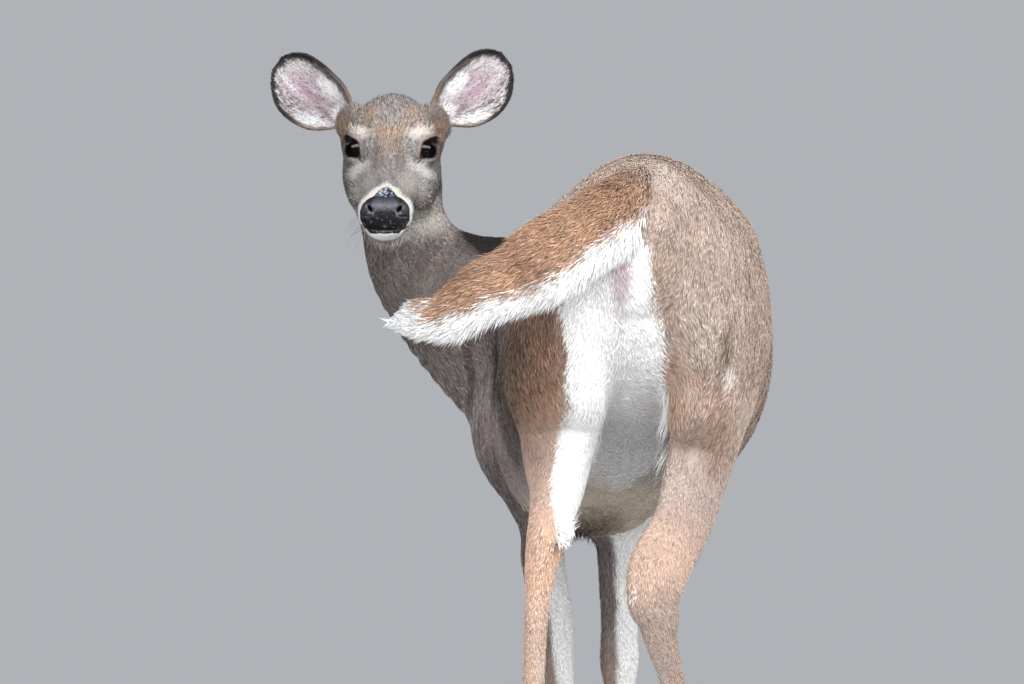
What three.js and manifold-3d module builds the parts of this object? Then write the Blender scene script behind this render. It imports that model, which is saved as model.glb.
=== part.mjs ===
// A white-tailed deer doe at life size, standing on four feet with her head turned back over her
// left side and her tail swung out to the left. Millimetres, +Z up, her trunk along +Y from rump to
// chest, so her right side is +X. The flesh is one smooth body, drawn as oval sections carried
// along the bones and blended together, then parted with thin cuts into the pieces a person names.
// Every surface is the outside of the coat.
import * as THREE from "three";
import { mergeVertices } from "three/addons/utils/BufferGeometryUtils.js";
import Module from "manifold-3d";

const wasm = await Module();
wasm.setup();

// ---------------------------------------------------------------- driving sizes

const GAP = 0.3; // width of a thin cut
const LEFT = -1; // the side of the trunk that is -X
const RIGHT = 1;

const RUMP_TOP = 824; // highest point of the back, over the hips
const WITHERS_TOP = 785;
const CHEST_BOTTOM = 420;

const EYE_LINE = [-289, 275, 888]; // the point midway between the eyes
const HEAD_PITCH = 35; // degrees that the face points down
const EYE_RADIUS = 15.5;
const EYE_OUT = 40; // each eye's middle, from the middle of the face
const EYE_OPENING = [21, 15, 18]; // half sizes of the hollow between the lids: long, high, deep
const EAR_THICKNESS = 5;

const HOOF_LENGTH = 52;
const HOOF_WIDTH = 40; // both claws together
const HOOF_HEIGHT = 26;
const CLEFT = 1.2; // between the claws of a foot
const DEWCLAW_LENGTH = 19;

const point = (x, y, z) => new THREE.Vector3(x, y, z);

// ---------------------------------------------------------------- fields

// Each field is a function of (x, y, z) that is negative inside and close to a true distance.

// An oval section carried along a smooth line. A station is { a, b, wide, taper }: a and b are the
// two ends of the oval's long axis and wide is its half width across that axis. taper narrows the
// a end and widens the b end.
function sweep(stations, steps = 4) {
  const curve = (pick) => new THREE.CatmullRomCurve3(stations.map(pick), false, "catmullrom");
  const ends = [curve((s) => point(...s.a)), curve((s) => point(...s.b))];
  const sizes = curve((s) => point(s.wide, s.taper ?? 0, 0));
  const count = (stations.length - 1) * steps;
  const sections = Array.from({ length: count + 1 }, (_, i) => {
    const [a, b] = ends.map((end) => end.getPoint(i / count));
    const size = sizes.getPoint(i / count);
    const high = a.distanceTo(b) / 2;
    return { middle: a.clone().lerp(b, 0.5), axis: a.clone().sub(b), high, wide: size.x, taper: size.y };
  });
  const bones = sections.slice(1).map((to, i) => boneBetween(sections[i], to));
  const reach = Math.max(...sections.map((s) => Math.max(s.high, s.wide)));
  const box = new THREE.Box3().setFromPoints(sections.map((s) => s.middle)).expandByScalar(reach * 1.1);
  const field = (x, y, z) => {
    const { min, max } = box;
    const off = Math.hypot(beyond(x, min.x, max.x), beyond(y, min.y, max.y), beyond(z, min.z, max.z));
    if (off > 70) return off; // far away, where only "outside" matters
    return bones.reduce((least, bone) => Math.min(least, boneDistance(bone, x, y, z)), Infinity);
  };
  field.sections = sections;
  return field;
}

const beyond = (value, low, high) => Math.max(low - value, 0, value - high);

function boneBetween(from, to) {
  const along = to.middle.clone().sub(from.middle);
  const length = along.length();
  along.normalize();
  const up = from.axis.clone().add(to.axis);
  up.addScaledVector(along, -up.dot(along)).normalize();
  return { from, to, along, length, up, side: along.clone().cross(up) };
}

function boneDistance({ from, to, along, length, up, side }, x, y, z) {
  const dx = x - from.middle.x;
  const dy = y - from.middle.y;
  const dz = z - from.middle.z;
  const run = dx * along.x + dy * along.y + dz * along.z;
  const t = Math.min(1, Math.max(0, run / length));
  const high = from.high + t * (to.high - from.high);
  const rise = dx * up.x + dy * up.y + dz * up.z;
  const across = dx * side.x + dy * side.y + dz * side.z;
  const taper = from.taper + t * (to.taper - from.taper);
  const lean = 1 - taper * Math.min(1, Math.max(-1, rise / high));
  const wide = (from.wide + t * (to.wide - from.wide)) * lean;
  return ovalDistance(rise, across, run - t * length, high, wide, 0.8 * Math.min(high, wide));
}

// Distance to an ellipsoid with half sizes a, b, c, near enough to true close to its surface.
function ovalDistance(x, y, z, a, b, c) {
  const scaled = Math.hypot(x / a, y / b, z / c);
  const slope = Math.hypot(x / (a * a), y / (b * b), z / (c * c));
  return slope < 1e-9 ? -Math.min(a, b, c) : (scaled * (scaled - 1)) / slope;
}

// Joins two distances with a fillet of about the given radius.
function softMin(a, b, radius) {
  const h = Math.max(radius - Math.abs(a - b), 0) / radius;
  return Math.min(a, b) - (h * h * radius) / 4;
}

function blend(radius, ...fields) {
  return (x, y, z) => fields.map((f) => f(x, y, z)).reduce((a, b) => softMin(a, b, radius));
}

// ---------------------------------------------------------------- trunk, neck and tail

// Stations of the trunk run forward from the rump: a on the back, b on the belly.
const trunk = sweep([
  { a: [0, -385, 752], b: [-4, -390, 616], wide: 60, taper: 0 },
  { a: [6, -310, RUMP_TOP - 14], b: [0, -345, 566], wide: 98, taper: 0 },
  { a: [13, -225, RUMP_TOP], b: [8, -235, 532], wide: 128, taper: 0.03 },
  { a: [15, -130, RUMP_TOP - 6], b: [12, -130, 488], wide: 143, taper: 0.06 },
  { a: [8, -35, 803], b: [8, -35, 450], wide: 154, taper: 0.12 },
  { a: [-8, 55, 789], b: [-6, 60, 430], wide: 150, taper: 0.16 },
  { a: [-34, 135, WITHERS_TOP], b: [-28, 150, CHEST_BOTTOM + 2], wide: 132, taper: 0.2 },
  { a: [-62, 200, WITHERS_TOP], b: [-58, 235, CHEST_BOTTOM], wide: 104, taper: 0.22 },
  { a: [-92, 250, 768], b: [-84, 316, 462], wide: 70, taper: 0.1 },
]);

// Stations of the neck run up to the skull: a on the crest, b on the throat.
const neck = sweep([
  { a: [-62, 196, 776], b: [-108, 330, 500], wide: 78, taper: 0.2 },
  { a: [-128, 256, 786], b: [-182, 342, 566], wide: 70, taper: 0.2 },
  { a: [-176, 302, 791], b: [-248, 352, 636], wide: 62, taper: 0.15 },
  { a: [-210, 330, 806], b: [-299, 350, 706], wide: 56, taper: 0.1 },
  { a: [-230, 352, 838], b: [-319, 346, 772], wide: 52, taper: 0.05 },
  { a: [-248, 380, 884], b: [-324, 322, 826], wide: 48, taper: 0 },
  { a: [-272, 382, 930], b: [-304, 290, 862], wide: 45, taper: 0 },
]);

// The tail hangs on its edge: a along the top, b along the fringe below.
const tail = sweep([
  { a: [6, -330, 800], b: [34, -330, 752], wide: 28 },
  { a: [-24, -380, 784], b: [13, -378, 731], wide: 27 },
  { a: [-65, -444, 755], b: [-25, -434, 695], wide: 26 },
  { a: [-118, -474, 724], b: [-74, -466, 648], wide: 25 },
  { a: [-151, -478, 697], b: [-112, -470, 631], wide: 24 },
  { a: [-184, -478, 676], b: [-152, -472, 619], wide: 22 },
  { a: [-216, -472, 649], b: [-194, -468, 599], wide: 20 },
  { a: [-243, -462, 640], b: [-237, -458, 593], wide: 17 },
  { a: [-263, -454, 629], b: [-261, -452, 600], wide: 12 },
  { a: [-275, -450, 618], b: [-275, -449, 608], wide: 5 },
]);

// ---------------------------------------------------------------- head

// Directions of the head: along the face to the nose, up out of the forehead, and to her left.
const pitch = THREE.MathUtils.degToRad(HEAD_PITCH);
const FACE = point(-0.03, -Math.cos(pitch), -Math.sin(pitch)).normalize();
const OUT = point(1, 0, 0).addScaledVector(FACE, -FACE.x).normalize();
const BROW = FACE.clone().cross(OUT).multiplyScalar(FACE.clone().cross(OUT).z > 0 ? 1 : -1);

// A point of the head: its distance in front of the eye line, above it and to her left.
function onHead(forward, up, out = 0) {
  const ahead = point(...EYE_LINE).addScaledVector(FACE, forward);
  return ahead.addScaledVector(BROW, up).addScaledVector(OUT, out);
}

// A station of the head, from its distance in front of the eyes and its top, bottom and half width.
function headStation(forward, top, bottom, wide, { out = 0, taper = 0 } = {}) {
  return { a: onHead(forward, top, out).toArray(), b: onHead(forward, bottom, out).toArray(), wide, taper };
}

// A short sweep between two stations, each its forward, top, bottom, half width and out.
const pair = (...ends) =>
  sweep(ends.map(([forward, top, bottom, wide, out]) => headStation(forward, top, bottom, wide, { out })));

const skull = sweep([
  headStation(-78, 34, -50, 44),
  headStation(-46, 55, -66, 53),
  headStation(-14, 52, -73, 54),
  headStation(20, 37, -70, 41, { taper: 0.08 }),
  headStation(54, 22, -62, 36, { taper: 0.08 }),
  headStation(88, 14, -55, 32, { taper: 0.05 }),
  headStation(114, 12, -54, 31, { taper: 0 }),
  headStation(132, 9, -50, 31, { taper: 0 }),
]);

// The bone round an eye, the muscle over the angle of the jaw, and the wing of a nostril.
const orbit = (side) => pair([-28, 31, -20, 19, side * 38], [-3, 28, -19, 18, side * 40]);
const jaw = (side) => pair([-30, -20, -78, 22, side * 35], [22, -30, -74, 21, side * 32]);
const nostril = (side) => pair([122, 8, -28, 14, side * 18], [137, 5, -25, 14, side * 17]);

// The muscle that carries an ear, behind the eye.
const earBase = (side) => pair([-42, 30, -34, 20, side * 44], [-60, 44, -26, 21, side * 51]);

const bothSides = (make) => [make(LEFT), make(RIGHT)];
const cheeks = blend(26, skull, ...bothSides(jaw));
const head = blend(14, cheeks, ...bothSides(orbit), ...bothSides(nostril), ...bothSides(earBase));

// ---------------------------------------------------------------- legs

// Stations of a leg run down to the hoof: a along its front, b along its back.
const HIND_LEFT = [
  { a: [-58, -140, 716], b: [-52, -390, 700], wide: 66 },
  { a: [-88, -124, 640], b: [-64, -410, 626], wide: 67 },
  { a: [-112, -122, 574], b: [-72, -398, 566], wide: 58 },
  { a: [-103, -146, 518], b: [-68, -370, 512], wide: 45, taper: -0.05 },
  { a: [-92, -206, 468], b: [-80, -362, 478], wide: 35, taper: -0.1 },
  { a: [-94, -262, 430], b: [-86, -372, 450], wide: 29, taper: -0.1 },
  { a: [-98, -310, 402], b: [-94, -390, 430], wide: 25, taper: -0.1 },
  { a: [-102, -342, 380], b: [-98, -410, 411], wide: 24 },
  { a: [-109, -342, 346], b: [-107, -398, 362], wide: 19 },
  { a: [-113, -344, 310], b: [-113, -384, 314], wide: 14.5 },
  { a: [-117, -340, 225], b: [-117, -374, 228], wide: 13 },
  { a: [-118, -338, 140], b: [-118, -368, 140], wide: 13 },
  { a: [-119, -334, 98], b: [-119, -374, 90], wide: 17 },
  { a: [-120, -312, 62], b: [-120, -348, 48], wide: 15.5 },
  { a: [-121, -284, 30], b: [-121, -334, 20], wide: 19 },
  { a: [-121, -276, 12], b: [-121, -326, 2], wide: 19 },
];
const HIND_RIGHT = [
  { a: [66, -140, 716], b: [56, -390, 700], wide: 70 },
  { a: [96, -122, 618], b: [66, -410, 622], wide: 69 },
  { a: [108, -124, 550], b: [62, -398, 568], wide: 50 },
  { a: [101, -142, 494], b: [50, -362, 520], wide: 36, taper: -0.05 },
  { a: [86, -180, 446], b: [39, -346, 484], wide: 29, taper: -0.1 },
  { a: [72, -228, 410], b: [32, -358, 446], wide: 23, taper: -0.1 },
  { a: [60, -284, 370], b: [20, -380, 408], wide: 18 },
  { a: [44, -332, 324], b: [-12, -405, 350], wide: 19 },
  { a: [36, -326, 294], b: [4, -384, 318], wide: 18 },
  { a: [34, -306, 262], b: [17, -352, 276], wide: 16.5 },
  { a: [43, -278, 214], b: [34, -312, 226], wide: 14.5 },
  { a: [53, -236, 142], b: [45, -268, 152], wide: 13.5 },
  { a: [63, -193, 88], b: [56, -233, 80], wide: 17 },
  { a: [70, -166, 60], b: [62, -204, 46], wide: 15.5 },
  { a: [80, -134, 30], b: [70, -183, 20], wide: 19 },
  { a: [82, -126, 12], b: [72, -175, 2], wide: 19 },
];
const FORE_LEFT = [
  { a: [-104, 262, 706], b: [-62, 140, 726], wide: 36 },
  { a: [-146, 306, 612], b: [-90, 165, 622], wide: 42 },
  { a: [-166, 318, 548], b: [-114, 180, 524], wide: 45 },
  { a: [-132, 288, 486], b: [-102, 174, 462], wide: 35 },
  { a: [-108, 258, 432], b: [-100, 188, 424], wide: 29 },
  { a: [-104, 246, 384], b: [-101, 194, 380], wide: 27 },
  { a: [-91, 240, 315], b: [-91, 199, 312], wide: 24 },
  { a: [-87, 246, 264], b: [-87, 200, 260], wide: 22 },
  { a: [-82, 234, 222], b: [-82, 200, 220], wide: 16.5 },
  { a: [-80, 230, 150], b: [-80, 201, 150], wide: 13.5 },
  { a: [-79, 238, 96], b: [-79, 198, 88], wide: 17 },
  { a: [-79, 258, 62], b: [-79, 222, 48], wide: 15.5 },
  { a: [-79, 286, 30], b: [-79, 236, 20], wide: 19 },
  { a: [-79, 294, 12], b: [-79, 244, 2], wide: 19 },
];
const FORE_RIGHT = [
  { a: [-34, 262, 706], b: [12, 140, 726], wide: 36 },
  { a: [-40, 314, 612], b: [26, 170, 622], wide: 46 },
  { a: [-30, 320, 548], b: [20, 182, 524], wide: 46 },
  { a: [-16, 292, 486], b: [2, 184, 462], wide: 38 },
  { a: [-13, 262, 432], b: [-11, 194, 424], wide: 29 },
  { a: [-12, 256, 384], b: [-12, 204, 380], wide: 25.5 },
  { a: [-11, 250, 315], b: [-11, 209, 312], wide: 23 },
  { a: [-11, 256, 264], b: [-11, 208, 260], wide: 24 },
  { a: [-11, 244, 224], b: [-11, 210, 222], wide: 18 },
  { a: [-11, 240, 150], b: [-11, 211, 150], wide: 13.5 },
  { a: [-11, 248, 96], b: [-11, 208, 88], wide: 17 },
  { a: [-11, 268, 62], b: [-11, 232, 48], wide: 15.5 },
  { a: [-11, 296, 30], b: [-11, 246, 20], wide: 19 },
  { a: [-11, 304, 12], b: [-11, 254, 2], wide: 19 },
];

// Each leg blends with the trunk, but not with its neighbour; the tail blends only at its root.
const core = blend(36, trunk, neck, head);
const legs = [HIND_LEFT, HIND_RIGHT, FORE_LEFT, FORE_RIGHT].map((stations) => sweep(stations));
const body = (x, y, z) => {
  const middle = core(x, y, z);
  return Math.min(...legs.map((leg) => softMin(middle, leg(x, y, z), 34)));
};
const flesh = blend(18, body, tail);

// ---------------------------------------------------------------- surfaces

// The surface where a field is zero, as a closed geometry: one vertex in each grid cell that the
// surface crosses, moved onto it, and a face across each grid edge that it crosses.
function surface(field, box, cell) {
  const size = box.getSize(point(0, 0, 0));
  const n = [size.x / cell[0], size.y / cell[1], size.z / cell[2]].map((c) => Math.ceil(c) + 1);
  const at = (i, j, k) => [box.min.x + i * cell[0], box.min.y + j * cell[1], box.min.z + k * cell[2]];
  const index = (i, j, k) => (i * n[1] + j) * n[2] + k;
  const rim = (...spot) => spot.some((v, way) => v === 0 || v === n[way] - 1);
  const values = new Float64Array(n[0] * n[1] * n[2]);
  each(n, (i, j, k) => {
    const value = field(...at(i, j, k));
    values[index(i, j, k)] = rim(i, j, k) ? Math.max(value, 1) : value;
  });
  const positions = [];
  const vertexOf = new Map();
  const cells = n.map((c) => c - 1);
  each(cells, (i, j, k) => {
    const crossings = cellCrossings(i, j, k, values, index, at);
    if (crossings.length === 0) return;
    const p = crossings.reduce((sum, c) => sum.add(c), point(0, 0, 0)).divideScalar(crossings.length);
    if (!CORNERS.some(([a, b, c]) => rim(i + a, j + b, k + c))) settle(p, field, Math.min(...cell) / 2);
    vertexOf.set(index(i, j, k), positions.length / 3);
    positions.push(...p.toArray());
  });
  const faces = [];
  each(cells, (i, j, k) =>
    WAYS.forEach((way, w) => {
      const here = values[index(i, j, k)] < 0;
      if (here === values[index(i + way[0], j + way[1], k + way[2])] < 0) return;
      const [u, v] = [WAYS[(w + 1) % 3], WAYS[(w + 2) % 3]];
      const around = (a, b) => vertexOf.get(index(...[i, j, k].map((at, q) => at - a * u[q] - b * v[q])));
      const ring = [around(0, 0), around(1, 0), around(1, 1), around(0, 1)];
      pushQuad(faces, positions, here ? ring : ring.reverse());
    }),
  );
  return indexed(positions, faces);
}

const WAYS = [
  [1, 0, 0],
  [0, 1, 0],
  [0, 0, 1],
];
const CORNERS = [0, 1].flatMap((i) => [0, 1].flatMap((j) => [0, 1].map((k) => [i, j, k])));

// Where the surface crosses the twelve edges of one grid cell.
function cellCrossings(i, j, k, values, index, at) {
  const found = [];
  for (const [a, b, c] of CORNERS)
    for (const [dx, dy, dz] of WAYS) {
      if (a + dx > 1 || b + dy > 1 || c + dz > 1) continue;
      const from = values[index(i + a, j + b, k + c)];
      const to = values[index(i + a + dx, j + b + dy, k + c + dz)];
      if (from < 0 === to < 0) continue;
      const end = point(...at(i + a + dx, j + b + dy, k + c + dz));
      found.push(point(...at(i + a, j + b, k + c)).lerp(end, from / (from - to)));
    }
  return found;
}

function each(n, visit) {
  for (let i = 0; i < n[0]; i += 1)
    for (let j = 0; j < n[1]; j += 1) for (let k = 0; k < n[2]; k += 1) visit(i, j, k);
}

// Moves a point onto the surface of a field along its slope, no further than limit.
function settle(p, field, limit) {
  const start = p.clone();
  const h = 0.5;
  for (let round = 0; round < 3; round += 1) {
    const slope = point(
      field(p.x + h, p.y, p.z) - field(p.x - h, p.y, p.z),
      field(p.x, p.y + h, p.z) - field(p.x, p.y - h, p.z),
      field(p.x, p.y, p.z + h) - field(p.x, p.y, p.z - h),
    ).divideScalar(2 * h);
    if (slope.lengthSq() < 0.01) return;
    p.addScaledVector(slope, -field(p.x, p.y, p.z) / slope.lengthSq());
  }
  const moved = p.distanceTo(start);
  if (moved > limit) p.lerpVectors(start, p.clone(), limit / moved);
}

// Two triangles for a ring of four vertices, split along the shorter diagonal.
function pushQuad(faces, positions, [a, b, c, d]) {
  const at = (v) => point(positions[3 * v], positions[3 * v + 1], positions[3 * v + 2]);
  if (at(a).distanceTo(at(c)) <= at(b).distanceTo(at(d))) faces.push(a, b, c, a, c, d);
  else faces.push(a, b, d, b, c, d);
}

function indexed(positions, faces) {
  const geometry = new THREE.BufferGeometry();
  return geometry.setAttribute("position", new THREE.Float32BufferAttribute(positions, 3)).setIndex(faces);
}

// A closed geometry through rings of points, all alike in number. Each end is closed by a strip
// across the ring, which suits a crescent as well as a disc.
function loft(rings) {
  const m = rings[0].length;
  const positions = rings.flat().flatMap((p) => p.toArray());
  const faces = [];
  for (let r = 0; r < rings.length - 1; r += 1)
    for (let i = 0; i < m; i += 1) {
      const a = r * m + i;
      const b = r * m + ((i + 1) % m);
      faces.push(a, b, b + m, a, b + m, a + m);
    }
  const end = (rings.length - 1) * m;
  for (let i = 0; i < m / 2 - 1; i += 1) {
    const [a, b, c, d] = [i, i + 1, m - 2 - i, m - 1 - i];
    faces.push(a, c, b, a, d, c, end + a, end + b, end + c, end + a, end + c, end + d);
  }
  return indexed(positions, faces);
}

// Oval rings round the sections of a sweep.
function rings(sections, sides) {
  return sections.map(({ middle, axis, high, wide, taper }, i) => {
    const before = sections[Math.max(i - 1, 0)].middle;
    const along = sections[Math.min(i + 1, sections.length - 1)].middle.clone().sub(before);
    const up = axis.clone().normalize();
    const side = along.cross(up).normalize();
    return Array.from({ length: sides }, (_, s) => {
      const turn = (2 * Math.PI * (s + 0.5)) / sides;
      const across = wide * (1 - taper * Math.cos(turn)) * Math.sin(turn);
      return middle.clone().addScaledVector(up, high * Math.cos(turn)).addScaledVector(side, across);
    });
  });
}

// ---------------------------------------------------------------- solids

function solid(geometry, place = new THREE.Matrix4()) {
  const bare = geometry.clone().applyMatrix4(place);
  bare.deleteAttribute("normal");
  bare.deleteAttribute("uv");
  const merged = mergeVertices(bare, 1e-3);
  const triVerts = new Uint32Array(merged.index.array);
  const vertProperties = merged.attributes.position.array;
  const made = new wasm.Manifold(new wasm.Mesh({ numProp: 3, vertProperties, triVerts }));
  if (made.volume() < 0) throw new Error("a geometry is inside out");
  return made;
}

function geometryOf(made) {
  const mesh = made.getMesh();
  const positions = [];
  for (let v = 0; v < mesh.numVert; v += 1)
    positions.push(...mesh.vertProperties.subarray(v * mesh.numProp, v * mesh.numProp + 3));
  return indexed(positions, [...mesh.triVerts]);
}

const biggest = (made) => made.decompose().reduce((a, b) => (a.volume() >= b.volume() ? a : b));

// A block of space that belongs to a piece. Its top face is centred on `face` and looks along
// `normal`; it reaches `sizes` across, along `up` and down from there. grow moves every side out.
function block({ face, normal, up = [0, 0.01, 1], sizes }, grow = 0) {
  const z = point(...normal).normalize();
  const y = point(...up).addScaledVector(z, -point(...up).dot(z)).normalize();
  const place = new THREE.Matrix4().makeBasis(y.clone().cross(z), y, z);
  place.setPosition(point(...face).addScaledVector(z, -sizes[2] / 2));
  return solid(new THREE.BoxGeometry(...sizes.map((s) => s + 2 * grow)), place);
}

// A block whose outline is drawn in X and Z, reaching from one Y to another.
function slab({ outline, from, to }, grow = 0) {
  const shape = new THREE.Shape(inset(outline, -grow).map(([x, z]) => new THREE.Vector2(x, z)));
  const geometry = new THREE.ExtrudeGeometry(shape, { depth: to - from + 2 * grow, bevelEnabled: false });
  return solid(geometry, new THREE.Matrix4().makeRotationX(Math.PI / 2).setPosition(0, to + grow, 0));
}

// An outline drawn anticlockwise, with every side moved inwards by `distance`.
function inset(outline, distance) {
  const at = (i) => new THREE.Vector2(...outline[(i + outline.length) % outline.length]);
  return outline.map((_, i) => {
    const before = at(i).sub(at(i - 1)).normalize();
    const after = at(i + 1).sub(at(i)).normalize();
    const corner = new THREE.Vector2(-before.y - after.y, before.x + after.x);
    return at(i).addScaledVector(corner, distance / (1 + before.dot(after))).toArray();
  });
}

// ---------------------------------------------------------------- how the flesh is parted

const HEAD_BLOCK = { face: [-285, 342, 882], normal: [0, 0.73, -0.68], sizes: [250, 460, 330] };
const NECK_BLOCK = { face: [-164, 296, 657], normal: [0.7, -0.34, -0.6], sizes: [900, 900, 500] };
const NOSE_BLOCK = {
  face: onHead(127, 3).toArray(),
  normal: FACE.clone().multiplyScalar(-0.94).addScaledVector(BROW, -0.34).toArray(),
  up: BROW.toArray(),
  sizes: [90, 60, 60],
};
const TAIL_BLOCK = {
  face: [-64, -460, 706],
  normal: [0.91, 0.1, 0.41],
  up: [-0.41, 0, 0.91],
  sizes: [110, 140, 260],
};

// The outline of each upper leg, seen from behind.
const HIND_LEFT_OUTLINE = [[-420, -20], [-48, -20], [-42, 440], [-8, 562], [-140, 716], [-420, 716]];
const HIND_RIGHT_OUTLINE = [[-34, -20], [420, -20], [420, 716], [156, 716], [-2, 562], [-30, 440]];
const FORE_LEFT_OUTLINE = [[-420, -20], [-47, -20], [-47, 420], [-62, 470], [-130, 590], [-420, 590]];
const FORE_RIGHT_OUTLINE = [[-44, -20], [420, -20], [420, 590], [40, 590], [-34, 470], [-44, 420]];
const LEGS = [
  {
    name: "hind_left",
    stations: HIND_LEFT,
    space: { outline: HIND_LEFT_OUTLINE, from: -500, to: -96 },
    low: [-190, -450, 420],
    high: [10, -70, 740],
    split: 468,
  },
  {
    name: "hind_right",
    stations: HIND_RIGHT,
    space: { outline: HIND_RIGHT_OUTLINE, from: -500, to: -96 },
    low: [-50, -450, 400],
    high: [190, -70, 740],
    split: 448,
  },
  {
    name: "fore_left",
    stations: FORE_LEFT,
    space: { outline: FORE_LEFT_OUTLINE, from: 120, to: 300 },
    low: [-250, 100, 360],
    high: [-20, 330, 620],
    split: 404,
  },
  {
    name: "fore_right",
    stations: FORE_RIGHT,
    space: { outline: FORE_RIGHT_OUTLINE, from: 120, to: 300 },
    low: [-70, 100, 360],
    high: [120, 330, 620],
    split: 404,
  },
];

const cut = (made, blocks) => blocks.reduce((rest, one) => rest.subtract(one), made);

// The flesh inside a box of space, drawn with the given cell.
const fleshIn = (low, high, cell) =>
  solid(surface(flesh, new THREE.Box3(point(...low), point(...high)), cell));

const deer = new THREE.Group();
deer.name = "white_tailed_deer";

const material = (color, roughness = 0.85) =>
  new THREE.MeshStandardMaterial({ color, roughness, metalness: 0 });
const LOOKS = {
  coat: material(0x8f7661),
  face: material(0x8b7868),
  tail: material(0xa37650),
  ear: material(0xb7a9a2),
  nose: material(0x2a2728, 0.4),
  eye: material(0x14100f, 0.1),
  horn: material(0x2e2724, 0.5),
};

function add(name, made, look) {
  const mesh = new THREE.Mesh(geometryOf(made), look);
  mesh.name = name;
  deer.add(mesh);
}

function addTrunkNeckAndTail() {
  const legRoom = LEGS.map(({ space }) => slab(space, GAP));
  const around = [block(NECK_BLOCK, GAP), block(TAIL_BLOCK, GAP), ...legRoom];
  const barrel = fleshIn([-300, -500, 380], [200, 420, 860], [37, 50, 37]);
  add("trunk", biggest(cut(barrel, around)), LOOKS.coat);
  const upper = fleshIn([-370, 180, 480], [-100, 440, 1000], [26, 26, 28]);
  add("neck", biggest(cut(upper.intersect(block(NECK_BLOCK)), [block(HEAD_BLOCK, GAP)])), LOOKS.coat);
  const behind = fleshIn([-310, -530, 560], [10, -380, 800], [18, 17, 17]);
  add("tail", biggest(behind.intersect(block(TAIL_BLOCK))), LOOKS.tail);
}

// ---------------------------------------------------------------- head pieces

const eyeMiddle = (side) => onHead(-3, 0, side * EYE_OUT);

// The hollow between the lids: an oval facing forwards and outwards.
function eyeOpening(side) {
  const gaze = FACE.clone().multiplyScalar(0.55).addScaledVector(OUT, side * 0.77);
  gaze.addScaledVector(BROW, 0.4).normalize();
  const along = BROW.clone().cross(gaze).normalize();
  const place = new THREE.Matrix4().makeBasis(along, gaze.clone().cross(along), gaze);
  place.setPosition(eyeMiddle(side).addScaledVector(gaze, 16));
  return solid(new THREE.SphereGeometry(1, 12, 7).scale(...EYE_OPENING), place);
}

function addHead() {
  const all = fleshIn([-400, 100, 730], [-180, 410, 990], [17.5, 17.5, 17.5]).intersect(block(HEAD_BLOCK));
  const sockets = bothSides((side) => ball(eyeMiddle(side), EYE_RADIUS + GAP).add(eyeOpening(side)));
  const ears = bothSides((side) => solid(ear(side, GAP)).add(solid(ear(side, 0))));
  add("head", biggest(cut(all, [block(NOSE_BLOCK, GAP), ...sockets, ...ears])), LOOKS.face);
  add("nose", biggest(all.intersect(block(NOSE_BLOCK))), LOOKS.nose);
  for (const [side, name] of [[RIGHT, "left"], [LEFT, "right"]]) {
    add(`eye_${name}`, ball(eyeMiddle(side), EYE_RADIUS), LOOKS.eye);
    add(`ear_${name}`, solid(ear(side, 0)), LOOKS.ear);
  }
}

function ball(middle, radius) {
  return solid(new THREE.SphereGeometry(radius, 12, 7), new THREE.Matrix4().setPosition(middle));
}

// One ear as a cupped leaf. Its line runs from the base to the tip, with half widths and cup
// depths along it, and it opens towards the front. The two ears are turned a little differently.
const EARS = {
  [LEFT]: { base: [-340, 330, 934], tip: [-432, 345, 1007], opens: [-0.1, -1, -0.22] },
  [RIGHT]: { base: [-236, 330, 937], tip: [-147, 345, 1012], opens: [0.1, -1, -0.22] },
};
const EAR_SHAPE = [
  { along: 0, wide: 12, deep: 16 },
  { along: 0.12, wide: 22, deep: 22 },
  { along: 0.28, wide: 34, deep: 24 },
  { along: 0.45, wide: 39, deep: 22 },
  { along: 0.62, wide: 40, deep: 18 },
  { along: 0.78, wide: 36, deep: 13 },
  { along: 0.91, wide: 25, deep: 8 },
  { along: 1.0, wide: 10, deep: 3 },
];

function ear(side, grow) {
  const { base, tip, opens } = EARS[side];
  const start = point(...base);
  const run = point(...tip).sub(start);
  const along = run.clone().normalize();
  const open = point(...opens).addScaledVector(along, -point(...opens).dot(along)).normalize();
  const down = along.clone().cross(open).multiplyScalar(side);
  const arcs = 6;
  return loft(
    EAR_SHAPE.map(({ along: t, wide, deep }, row) => {
      const end = row === 0 ? -grow : row === EAR_SHAPE.length - 1 ? grow : 0;
      const middle = start.clone().addScaledVector(run, t).addScaledVector(along, end);
      middle.addScaledVector(down, 7 * Math.sin(Math.PI * t));
      const sheet = (back) =>
        Array.from({ length: arcs + 1 }, (_, i) => {
          const turn = (Math.PI / 2) * ((2 * i) / arcs - 1);
          const spread = (wide + (back ? 1.5 + grow : -grow)) * Math.sin(turn);
          const half = EAR_THICKNESS / 2 + grow;
          const depth = deep * Math.cos(turn) + (back ? half : -half);
          return middle.clone().addScaledVector(down, spread).addScaledVector(open, -depth);
        });
      const ring = [...sheet(true), ...sheet(false).reverse()];
      return side === LEFT ? ring : ring.reverse();
    }),
  );
}

// ---------------------------------------------------------------- leg pieces

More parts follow.
